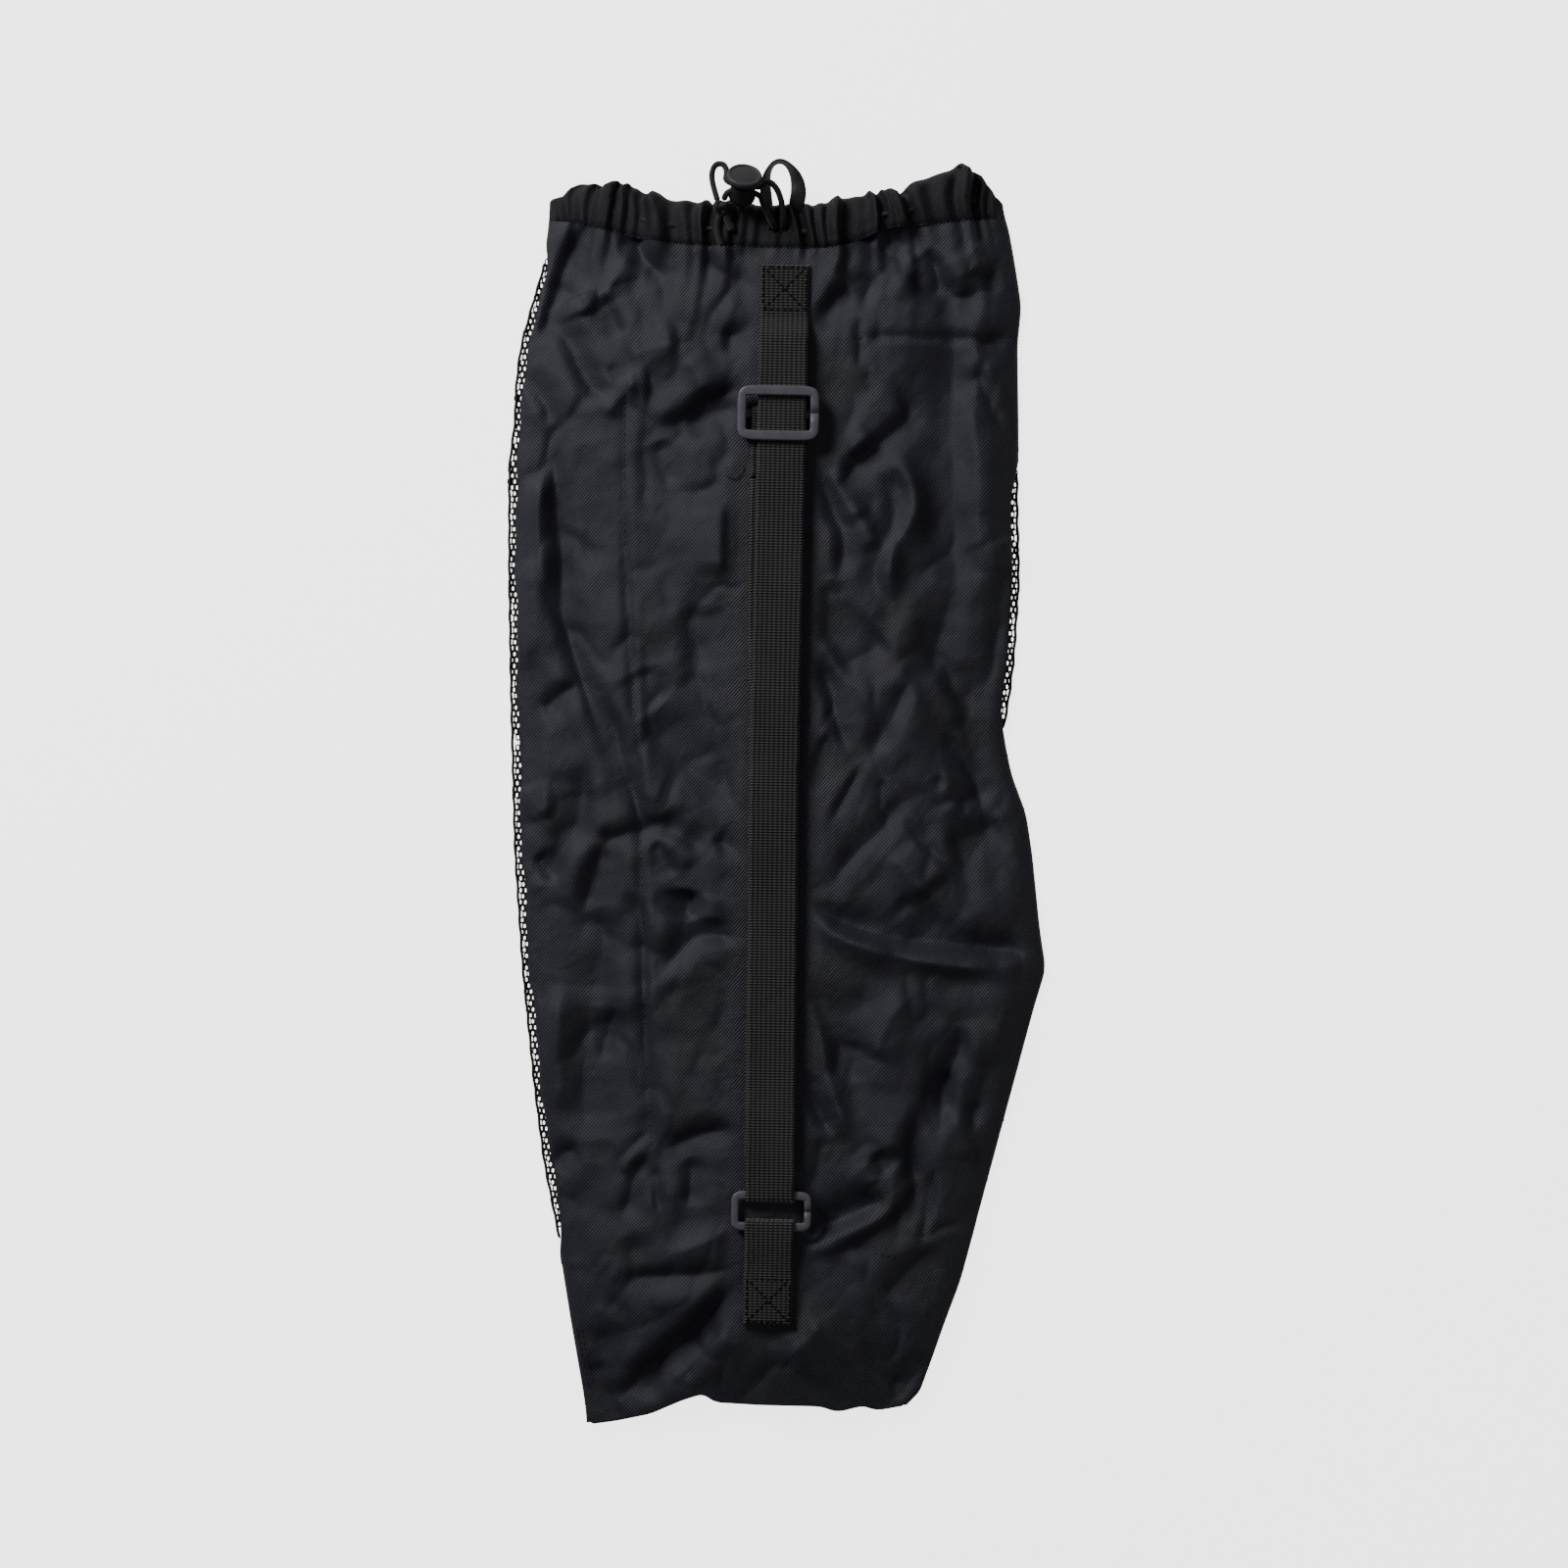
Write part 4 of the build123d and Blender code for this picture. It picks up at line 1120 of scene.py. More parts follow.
@dataclass
class Casing:
    """The drawstring casing, drawn into pleats, with its channel cord and cord slit."""

    outline: BagOutline
    relief: ClothRelief
    finishes: Finishes
    around: int = 760
    rows: int = 30
    back_z: float = 0.0019
    wall: float = 0.0050               # the channel and both its walls
    lip: float = 0.0011
    slit: Point = (-0.0030, 0.2906)
    slit_half: tuple[float, float] = (0.0052, 0.0028)
    cord_r: float = 0.0014
    cord_rise: float = 0.40            # its place between the seam and the edge
    cord_turn: Point = (0.2365, -0.7555)
    cord_points: int = 420
    fold_over: float = 0.6             # share of the cloth's rows that is outside
    flat_width: float = 0.62
    pleat_swell: Point = (0.0030, 0.0013)

    def section(self, turn: np.ndarray, rise: np.ndarray, inset: np.ndarray) -> np.ndarray:
        """Points of the casing.

        Args:
            turn: share of the way round, up the front and back along the back.
            rise: 0 at the seam and 1 at the ruffled edge.
            inset: depth inside the outer face.

        Returns:
            An array of points.
        """
        front = turn < 0.5
        share = np.where(front, 2 * turn, 2 - 2 * turn)
        o = self.outline
        low, high = o.seam(share), o.mouth(share)
        back_high = high - 0.0035 * np.sin(np.pi * share)
        y = low + (np.where(front, high, back_high) - low) * rise
        left, right = o.left(y) + inset * 1.3, o.right(y) - inset * 1.3
        x = left + (right - left) * share
        drift = 0.012 * np.sin(rise * 2.1 + share * 23) * rise
        pleat = self.relief.gathers(share + drift)
        back_pleat = self.relief.gathers((share * 0.93 + 0.31) % 1.0)
        swell = self.pleat_swell[0] + self.pleat_swell[1] * rise ** 1.3
        puff = 0.0011 * np.sin(np.pi * np.clip(rise, 0, 1)) - 0.0010 * np.exp(-(rise / 0.08) ** 2)
        ends = ease(share, 0.0, 0.05) * (1 - ease(share, 0.95, 1.0))
        top = o.base_height(share, y) - 0.0004 + (pleat - 0.25) * swell * ends + puff * ends
        bottom = self.back_z + (0.5 + 0.5 * back_pleat) * 0.0016 * ends * (0.4 + 0.6 * rise)
        room = np.maximum(top - bottom, 0.0004)
        step = np.minimum(inset, room * 0.42)
        z = np.where(front, top - step, bottom + step)
        y = y + 0.0013 * pleat * rise ** 2
        return np.stack([x, y, z], 1)

    def cloth(self) -> None:
        """The casing's cloth: up the outside, over the ruffled lip and down the inside."""

        def place(u: np.ndarray, v: np.ndarray) -> tuple[np.ndarray, np.ndarray]:
            """Points and UVs of the casing."""
            edge = self.fold_over
            outside = v < edge
            rise = np.where(outside, v / edge, 1 - (v - edge) / 0.4 * 0.92)
            over = np.clip(1 - np.abs(v - edge) / 0.08, 0, 1)
            inset = np.where(outside, 0.0, self.wall) * (1 - over)
            inset = inset + over * np.where(outside, 0.3, 0.7) * self.wall
            points = self.section(u, np.minimum(rise, 1), inset)
            points[:, 1] += self.lip * over ** 2 * 0.4
            return points, np.stack([u * self.flat_width, points[:, 1]], 1)

        def keep(centres: np.ndarray) -> np.ndarray:
            """Leaves the cord slit open in the outer wall."""
            across = (centres[:, 0] - self.slit[0]) / self.slit_half[0]
            along = (centres[:, 1] - self.slit[1]) / self.slit_half[1]
            return (across ** 2 + along ** 2 > 1) | (centres[:, 2] < 0.0145)

        obj = sheet_piece("casing_cloth", self.around, self.rows, place, keep=keep)
        bm = bmesh.new()
        bm.from_mesh(obj.data)
        bmesh.ops.remove_doubles(bm, verts=bm.verts, dist=MERGE)
        bm.to_mesh(obj.data)
        bm.free()
        # The casing wears the darker twill, whose colours are painted shade of its pleats.
        seat(obj, "bag", self.finishes.shaded_twill, ["drawstring_casing"])

    def channel_cord(self) -> None:
        """The drawstring inside its channel, from the slit all the way round and back."""
        turn = np.linspace(*self.cord_turn, self.cord_points) % 1.0
        points = self.section(turn, np.full_like(turn, self.cord_rise), np.full_like(turn, self.wall / 2))
        for axis in (0, 1, 2):
            padded = np.pad(points[:, axis], 6, mode="edge")
            points[:, axis] = np.convolve(padded, np.ones(13) / 13, mode="valid")
        line = evenly(points, 0.0012)
        obj = tube_piece("channel_cord", line, self.cord_r, around=10)
        seat(obj, "bag", self.finishes.cord, ["drawstring"])

    def build(self) -> None:
        """Builds the casing's pieces."""
        self.cloth()
        self.channel_cord()


# ---------------------------------------------------------------- stitches

@dataclass
class Stitching:
    """Rows of single stitches that lie on a surface."""

    finishes: Finishes
    length: float = 0.0024
    gap: float = 0.0009
    width: float = 0.00034
    height: float = 0.00026
    lift: float = 0.0002               # above the cloth
    spacing: float = 0.0012            # of a seam's points

    def row(self, bm: bmesh.types.BMesh, line: np.ndarray) -> None:
        """Adds one row of stitches to a bmesh.

        Args:
            bm: the bmesh.
            line: the row's points.
        """
        runs = np.linalg.norm(np.diff(line, axis=0), axis=1)
        along = np.concatenate([[0], np.cumsum(runs)])
        for start in np.arange(0, along[-1] - self.length, self.length + self.gap):
            ends = [Vector([np.interp(at, along, line[:, k]) for k in range(3)])
                    for at in (start, start + self.length)]
            heading = ends[1] - ends[0]
            turn = heading.to_track_quat("X", "Z").to_matrix().to_4x4()
            size = Matrix.Diagonal((heading.length / 2 + 0.0002, self.width, self.height, 1))
            bmesh.ops.create_uvsphere(bm, u_segments=6, v_segments=4, radius=1,
                                      matrix=Matrix.Translation((ends[0] + ends[1]) / 2) @ turn @ size)

    def piece(self, name: str, lines: Sequence[np.ndarray], body: str = "bag",
              stands_for: Sequence[str] = (), finish: bpy.types.Material | None = None) -> None:
        """A piece with all of these rows.

        Args:
            name: the piece's name.
            lines: each row's points.
            body: the body that it rides on.
            stands_for: CAD nodes that it replaces.
            finish: the thread's material, if it isn't the cloth's.
        """
        bm = bmesh.new()
        for line in lines:
            self.row(bm, line)
        seat(piece_from(bm, name), body, finish or self.finishes.thread, stands_for)

    def on_cloth(self, relief: ClothRelief, places: Sequence[Point]) -> np.ndarray:
        """A line of stitches over the front cloth.

        Args:
            relief: the cloth's height.
            places: what the line runs through, in millimetres.

        Returns:
            The line's points, in metres.
        """
        knots = np.array([(*p, 0.0) for p in places], float) * MM
        line = evenly(knots, self.spacing)
        line[:, 2] = relief.height(line[:, 0], line[:, 1]) + self.lift
        return line


@dataclass
class ClothStitching:
    """The seams sewn into the front cloth and the casing."""

    outline: BagOutline
    relief: ClothRelief
    sewing: Stitching

    def build(self) -> None:
        """Sews the pocket's seams, the side seams and the casing's seam."""
        for name, rows in (
                ("pocket_seam", [POCKET_SIDE]),
                ("pocket_mouth_seam", [[(36, 235), (78, 235.5), (119, 235)]]),
                ("lower_pocket_seams", [POCKET_FOOT, [(55, -235), (68, -237)]]),
                ("lower_side_seams", [[(-97, -277), (-93, -295), (-89.5, -309)],
                                      [(-94.5, -277), (-90.5, -295), (-87.5, -307)]])):
            self.sewing.piece(name, [self.sewing.on_cloth(self.relief, row) for row in rows])
        share = np.linspace(0.025, 0.975, 260)
        y = self.outline.seam(share) + 0.0006
        left, right = self.outline.left(y), self.outline.right(y)
        top = self.outline.base_height(share, y) - 0.0014 + 0.0023 * (self.relief.gathers(share) - 0.25)
        seam = evenly(np.stack([left + (right - left) * share, y, top + 0.0005], 1),
                      self.sewing.spacing)
        self.sewing.piece("casing_seam", [seam], stands_for=["casing_stitching"])
        ring = np.linspace(0, 2 * np.pi, 40)
        slit = np.stack([-0.003 + 0.0057 * np.cos(ring), 0.2906 + 0.0033 * np.sin(ring),
                         np.full(40, 0.0163)], 1)
        self.sewing.piece("slit_overcast", [slit, slit + (0.0004, 0.0003, 0)])


# ---------------------------------------------------------------- webbing

def bend(centre: Point, radius: float, first: float, last: float) -> list[Point]:
    """Points of a strap's bend in the YZ plane.

    Args:
        centre: of the bend.
        radius: in metres.
        first: the angle that it starts at, in degrees.
        last: the angle that it ends at.

    Returns:
        Its points.
    """
    return [(centre[0] + radius * math.cos(a), centre[1] + radius * math.sin(a))
            for a in np.radians(np.linspace(first, last, 13))]


def slope_down(start: Point, end: Point) -> list[Point]:
    """Points of a strap's even fall or rise in the YZ plane, without the start itself.

    Args:
        start: where it begins.
        end: where it ends.

    Returns:
        Its points.
    """
    return [(start[0] + (end[0] - start[0]) * s, start[1] + (end[1] - start[1]) * (3 * s * s - 2 * s ** 3))
            for s in np.linspace(0.1, 1, 10)]


@dataclass
class Webbing:
    """The shoulder strap in its four pieces of webbing, with their sewn boxes."""

    finishes: Finishes
    sewing: Stitching
    width: float = 0.0250
    thick: float = 0.0010
    across: int = 12
    step: float = 0.0016
    strap_x: float = 0.0006
    anchor_x: float = 0.0015
    low_z: float = 0.0178
    top_z: float = 0.0223
    wrap_z: float = 0.0208
    anchor_z: float = 0.0189
    upper_end: float = 0.27167
    box_low: float = 0.24667
    ring_bar_y: float = -0.20584
    low_bar_y: float = -0.22204
    wrap_end: float = -0.18664
    slider_y: float = 0.19497
    slider_wrap_low: float = 0.16197
    anchor_low: float = -0.27244
    anchor_turn_r: float = 0.00255     # round the ring's lower bar
    anchor_back_z: float = 0.0229
    fall: float = 0.014                # length of the step down to the sewn upper end
    box: float = 0.0220
    drift_mm: list[Point] = field(default_factory=lambda: [
        (-280, 0.9), (-200, 0.9), (-100, 0.2), (0, -0.7), (80, -0.5), (160, -0.2), (230, 0.0), (280, 0.0)])

    def lay(self, name: str, path: Sequence[Point], centre: Callable[[np.ndarray], np.ndarray],
            crease: bool = False) -> bpy.types.Object:
        """A length of webbing along a path in the YZ plane.

        Args:
            name: the piece's name.
            path: its points, in metres.
            centre: the middle's place across the bag at each place along it.
            crease: whether it has the slanting crease where it was once folded.

        Returns:
            The new object, not yet riding.
        """
        line = evenly(np.array([(0, y, z) for y, z in path], float), self.step)
        count = len(line) - 1
        run = np.concatenate([[0], np.cumsum(np.linalg.norm(np.diff(line, axis=0), axis=1))])
        heading = np.gradient(line, axis=0)
        heading /= np.linalg.norm(heading, axis=1)[:, None]
        out = np.stack([np.zeros(count + 1), -heading[:, 2], heading[:, 1]], 1)

        def place(u: np.ndarray, v: np.ndarray) -> tuple[np.ndarray, np.ndarray]:
            """Points and UVs of the webbing."""
            row = np.rint(v * count).astype(int)
            y = line[row, 1]
            half = self.width / 2 + 0.00012 * np.sin(run[row] / 0.0043) + 0.00008 * np.sin(run[row] / 0.0019)
            x = centre(y) + (2 * u - 1) * half
            selvedge = -0.00016 * np.clip(np.abs(2 * u - 1) * 8 - 7, 0, 1)
            points = np.stack([x, y, line[row, 2]], 1) + out[row] * selvedge[:, None]
            if crease:
                away = (y + 0.107 - 0.85 * (x - self.strap_x)) / 0.0022
                points[:, 2] -= 0.00035 * np.exp(-away ** 2)
            return points, np.stack([u * self.width, run[row]], 1)

        obj = sheet_piece(name, self.across, count, place)
        if heading[0, 1] < 0:
            obj.data.flip_normals()
        thicken(obj, self.thick)
        return obj

    def drift(self, y: np.ndarray) -> np.ndarray:
        """The main strap's middle at each place along the bag."""
        return self.strap_x + smoothed(self.drift_mm, y / MM, 10) * MM

    def box_rows(self, x: float, low: float, z: float) -> list[np.ndarray]:
        """A sewn square with its cross.

        Args:
            x: its middle across the bag.
            low: its lower edge along the bag.
            z: its height.

        Returns:
            The points of each of its six rows of stitches.
        """
        half = self.box / 2
        corners = [(x - half, low), (x + half, low), (x + half, low + self.box), (x - half, low + self.box)]
        sides = [(corners[k], corners[(k + 1) % 4]) for k in range(4)]
        pairs = sides + [(corners[0], corners[2]), (corners[1], corners[3])]
        return [evenly(np.array([(*a, z), (*b, z)], float), self.sewing.spacing) for a, b in pairs]

    def main_strap(self) -> None:
        """From the sewn upper end, through the slider and round the ring's upper bar."""
        turn_y = self.ring_bar_y - 0.0012
        radius = (self.top_z - self.low_z) / 2
        path = ([(self.upper_end, self.low_z), (self.box_low, self.low_z)]
                + slope_down((self.box_low, self.low_z), (self.box_low - self.fall, self.top_z))
                + [(turn_y, self.top_z)]
                + bend((turn_y, self.low_z + radius), radius, 90, 270)
                + [(self.wrap_end, self.low_z)])
        obj = self.lay("main_strap", path, self.drift, crease=True)
        dress(obj, self.finishes.webbing, ["shoulder_strap", "strap_ring_wrap"])
        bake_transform(obj)
        log.info("%s bends from the bag to the ring", obj.name)
        self.sewing.piece("upper_box_stitches",
                          self.box_rows(self.strap_x, self.upper_end - 0.0235, self.low_z + 0.00055),
                          stands_for=["top_anchor_stitching"], finish=self.finishes.strap_thread)

    def return_run(self) -> None:
        """The layer under the main strap, from the ring's wrap up to the slider's wrap."""
        path = [(self.wrap_end + 0.0003, self.low_z), (self.slider_wrap_low - 0.0003, self.low_z)]
        peek = [(-190, 0.0), (-60, -0.6), (40, -1.6), (90, -3.2), (165, -3.6)]
        obj = self.lay("under_strap", path, lambda y: self.strap_x + smoothed(peek, y / MM, 10) * MM)
        dress(obj, self.finishes.webbing, ["strap_return_run"])
        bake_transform(obj)
        log.info("%s bends from the bag to the slider", obj.name)

    def slider_wrap(self) -> None:
        """The strap's end, folded round the slider's middle bar and sewn to itself."""
        bar_z = (self.low_z + self.wrap_z) / 2
        radius = (self.wrap_z - self.low_z) / 2
        turn_y = self.slider_y + 0.0017
        low = self.slider_wrap_low
        path = ([(low, self.low_z), (turn_y, self.low_z)] + bend((turn_y, bar_z), radius, -90, 90)
                + [(low + 0.012, self.wrap_z), (low + 0.008, self.low_z + 0.0012),
                   (low + 0.001, self.low_z + 0.0011)])
        obj = self.lay("slider_wrap", path, lambda y: self.strap_x - 0.0034 + 0 * y)
        seat(obj, "slider", self.finishes.webbing, ["strap_slider_wrap"])
        rows = [evenly(np.array([(self.strap_x - 0.0134, low + d, self.low_z + 0.0017),
                                 (self.strap_x + 0.0066, low + d, self.low_z + 0.0017)]), self.sewing.spacing)
                for d in (0.0030, 0.0052)]
        self.sewing.piece("slider_wrap_stitches", rows, "slider", ["slider_wrap_stitching"],
                          self.finishes.strap_thread)

    def lower_anchor(self) -> None:
        """The short length from the base round the ring's lower bar and back, sewn in a square."""
        radius = self.anchor_turn_r
        turn_y = self.low_bar_y + 0.0011
        back = (self.low_bar_y - 0.004, self.anchor_back_z)
        path = ([(self.anchor_low, self.low_z), (turn_y, self.low_z)]
                + bend((turn_y, self.low_z + radius), radius, -90, 90)
                + [back] + slope_down(back, (back[0] - 0.0214, self.anchor_z))
                + [(self.anchor_low, self.anchor_z)])
        obj = self.lay("lower_anchor", path, lambda y: self.anchor_x + 0 * y)
        seat(obj, "bag", self.finishes.webbing, ["lower_anchor_strap"])
        self.sewing.piece("lower_box_stitches",
                          self.box_rows(self.anchor_x, self.anchor_low + 0.0015, self.anchor_z + 0.00055),
                          stands_for=["lower_anchor_stitching"], finish=self.finishes.strap_thread)

    def build(self) -> None:
        """Lays all four lengths."""
        self.main_strap()
        self.return_run()
        self.slider_wrap()
        self.lower_anchor()


# ---------------------------------------------------------------- slider and ring

@dataclass
class MouldedFrame:
    """A moulded frame: two end bars and two side bars with a rounded section."""

    centre: tuple[float, float]
    width: float
    length: float
    side: float
    bar: float
    side_z: tuple[float, float]
    bar_z: tuple[float, float]
    squareness: float = 3.2

    def piece(self, name: str) -> bpy.types.Object:
        """The frame as one closed ring.

        Args:
            name: the piece's name.

        Returns:
            The new object.
        """
        half_x, half_y = self.width / 2 - self.side / 2, self.length / 2 - self.bar / 2

        def place(u: np.ndarray, v: np.ndarray) -> tuple[np.ndarray, np.ndarray]:
            """Points and UVs of the frame."""
            turn = 2 * np.pi * u
            c, s = np.cos(turn), np.sin(turn)
            ex = 2 / 9.0
            mid_x = half_x * np.sign(c) * np.abs(c) ** ex
            mid_y = half_y * np.sign(s) * np.abs(s) ** ex
            away_x, away_y = np.abs(mid_x) / half_x, np.abs(mid_y) / half_y
            is_side = np.clip((away_x ** 8) / (away_x ** 8 + away_y ** 8), 0, 1)
            normal = np.stack([np.sign(mid_x) * away_x ** 8 / half_x,
                               np.sign(mid_y) * away_y ** 8 / half_y], 1)
            normal /= np.linalg.norm(normal, axis=1)[:, None] + 1e-12
            half_w = (self.side * is_side + self.bar * (1 - is_side)) / 2
            low = self.side_z[0] * is_side + self.bar_z[0] * (1 - is_side)
            high = self.side_z[1] * is_side + self.bar_z[1] * (1 - is_side)
            ring = 2 * np.pi * v
            cr, sr = np.cos(ring), np.sin(ring)
            power = 2 / self.squareness
            out = half_w * np.sign(cr) * np.abs(cr) ** power
            z = (low + high) / 2 + (high - low) / 2 * np.sign(sr) * np.abs(sr) ** power
            x = self.centre[0] + mid_x + normal[:, 0] * out
            y = self.centre[1] + mid_y + normal[:, 1] * out
            return np.stack([x, y, z], 1), np.stack([u * 0.1, v * 0.01], 1)

        return sheet_piece(name, 192, 20, place, closed=True)


@dataclass
class Hardware:
    """The strap's slider and the lower ring."""

    finishes: Finishes
    slider_at: tuple[float, float] = (-0.0014, 0.19497)
    ring_at: tuple[float, float] = (0.0024, -0.21394)

    def slider(self) -> None:
        """The slider's frame, and the middle bar that the strap's end wraps."""
        shape = MouldedFrame(self.slider_at, width=0.0420, length=0.0280, side=0.0047, bar=0.0050,
                             side_z=(0.0184, 0.0252), bar_z=(0.0231, 0.0253), squareness=4.5)
        seat(shape.piece("slider_frame"), "slider", self.finishes.slider_plastic,
             ["strap_slider"])
        bm = bmesh.new()
        place = Matrix.Translation((*self.slider_at, 0.0193)) @ Matrix.Diagonal((0.0348, 0.0042, 0.0017, 1))
        bmesh.ops.create_cube(bm, size=1, matrix=place)
        bmesh.ops.bevel(bm, geom=bm.edges[:], offset=0.0007, offset_type="OFFSET", segments=3, profile=0.5,
                        material=-1, affect="EDGES", clamp_overlap=True)
        seat(piece_from(bm, "slider_middle_bar"), "slider",
             self.finishes.slider_plastic)

    def ring(self) -> None:
        """The flat ring at the strap's lower end."""
        shape = MouldedFrame(self.ring_at, width=0.0410, length=0.0210, side=0.0037, bar=0.0048,
                             side_z=(0.0190, 0.0216), bar_z=(0.0190, 0.0216), squareness=2.8)
        seat(shape.piece("ring_frame"), "ring", self.finishes.slider_plastic,
             ["lower_ring"])

    def build(self) -> None:
        """Builds both."""
        self.slider()
        self.ring()


# ---------------------------------------------------------------- cord lock, cords and loop

@dataclass
class CordLock:
    """The sprung cord lock: its CAD pieces dressed, with a turned cap and ribs added."""

    finishes: Finishes
    tilt: float = math.radians(44)
    turn: float = math.radians(-8)
    foot: Point = (-0.02248, 0.30343, 0.0179)
    length: float = 0.0174
    cap_r: float = 0.0090
    ribs: int = 28
    rib_at: Point = (0.00672, 0, 0.0040)
    rib_size: Point = (0.00028, 0.00028, 0.0011)

    @property
    def axis(self) -> Vector:
        """From the lock's foot to its button."""
        return Vector((-math.sin(self.turn) * math.sin(self.tilt), math.cos(self.turn) * math.sin(self.tilt),
                       math.cos(self.tilt)))

    @property
    def place(self) -> Matrix:
        """The lock's own frame: its foot at the origin and its axis along Z."""
        across = Vector((math.cos(self.turn), math.sin(self.turn), 0))
        side = self.axis.cross(across)
        turned = Matrix((across, side, self.axis)).transposed().to_4x4()
        return Matrix.Translation(self.foot) @ turned

    def turned(self, name: str, profile: Sequence[Point]) -> bpy.types.Object:
        """A round piece spun from its half section.

        Args:
            name: the piece's name.
            profile: (radius, height) points, in metres, from the axis outwards and back.

        Returns:
            The new object.
        """
        bm = bmesh.new()
        verts = [bm.verts.new((r, 0, h)) for r, h in profile]
        edges = [bm.edges.new(pair) for pair in zip(verts, verts[1:])]
        bmesh.ops.spin(bm, geom=verts + edges, cent=(0, 0, 0), axis=(0, 0, 1), dvec=(0, 0, 0),
                       angle=2 * math.pi, steps=56, use_merge=True)
        bmesh.ops.remove_doubles(bm, verts=bm.verts, dist=MERGE)
        bmesh.ops.recalc_face_normals(bm, faces=bm.faces)
        bmesh.ops.transform(bm, matrix=self.place, verts=bm.verts)
        return piece_from(bm, name)

    def build(self) -> None:
        """Dresses the barrel, spring and stem, and adds the cap and the barrel's ribs."""
        for node, slot, finish in (("cord_lock_barrel", "lock_plastic", self.finishes.barrel_plastic),
                                   ("cord_lock_button", "lock_plastic", self.finishes.lock_plastic),
                                   ("cord_lock_spring", "spring_steel", self.finishes.steel)):
            node_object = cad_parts[node]
            node_object.data.materials.clear()
            node_object.data.materials.append(finish)
        top, r = self.length, self.cap_r
        profile = [(share * r, top + lift * MM) for share, lift in (
            (0, 0.55), (0.35, 0.5), (0.62, 0.25), (0.74, 0.05), (0.79, 0.1), (0.83, 0.45), (0.91, 0.5),
            (0.97, 0.2), (1, -0.4), (1.005, -1.8), (0.97, -2.4), (0.90, -2.7), (0, -2.7))]
        seat(self.turned("button_cap", profile), "button", self.finishes.lock_plastic)
        bm = bmesh.new()
        for number in range(self.ribs):
            spin = Matrix.Rotation(2 * math.pi * number / self.ribs, 4, "Z")
            rib = Matrix.Translation(self.rib_at) @ Matrix.Diagonal((*self.rib_size, 1))
            bmesh.ops.create_uvsphere(bm, u_segments=6, v_segments=4, radius=1,
                                      matrix=self.place @ spin @ rib)
        seat(piece_from(bm, "barrel_grip"), "lock", self.finishes.barrel_plastic)


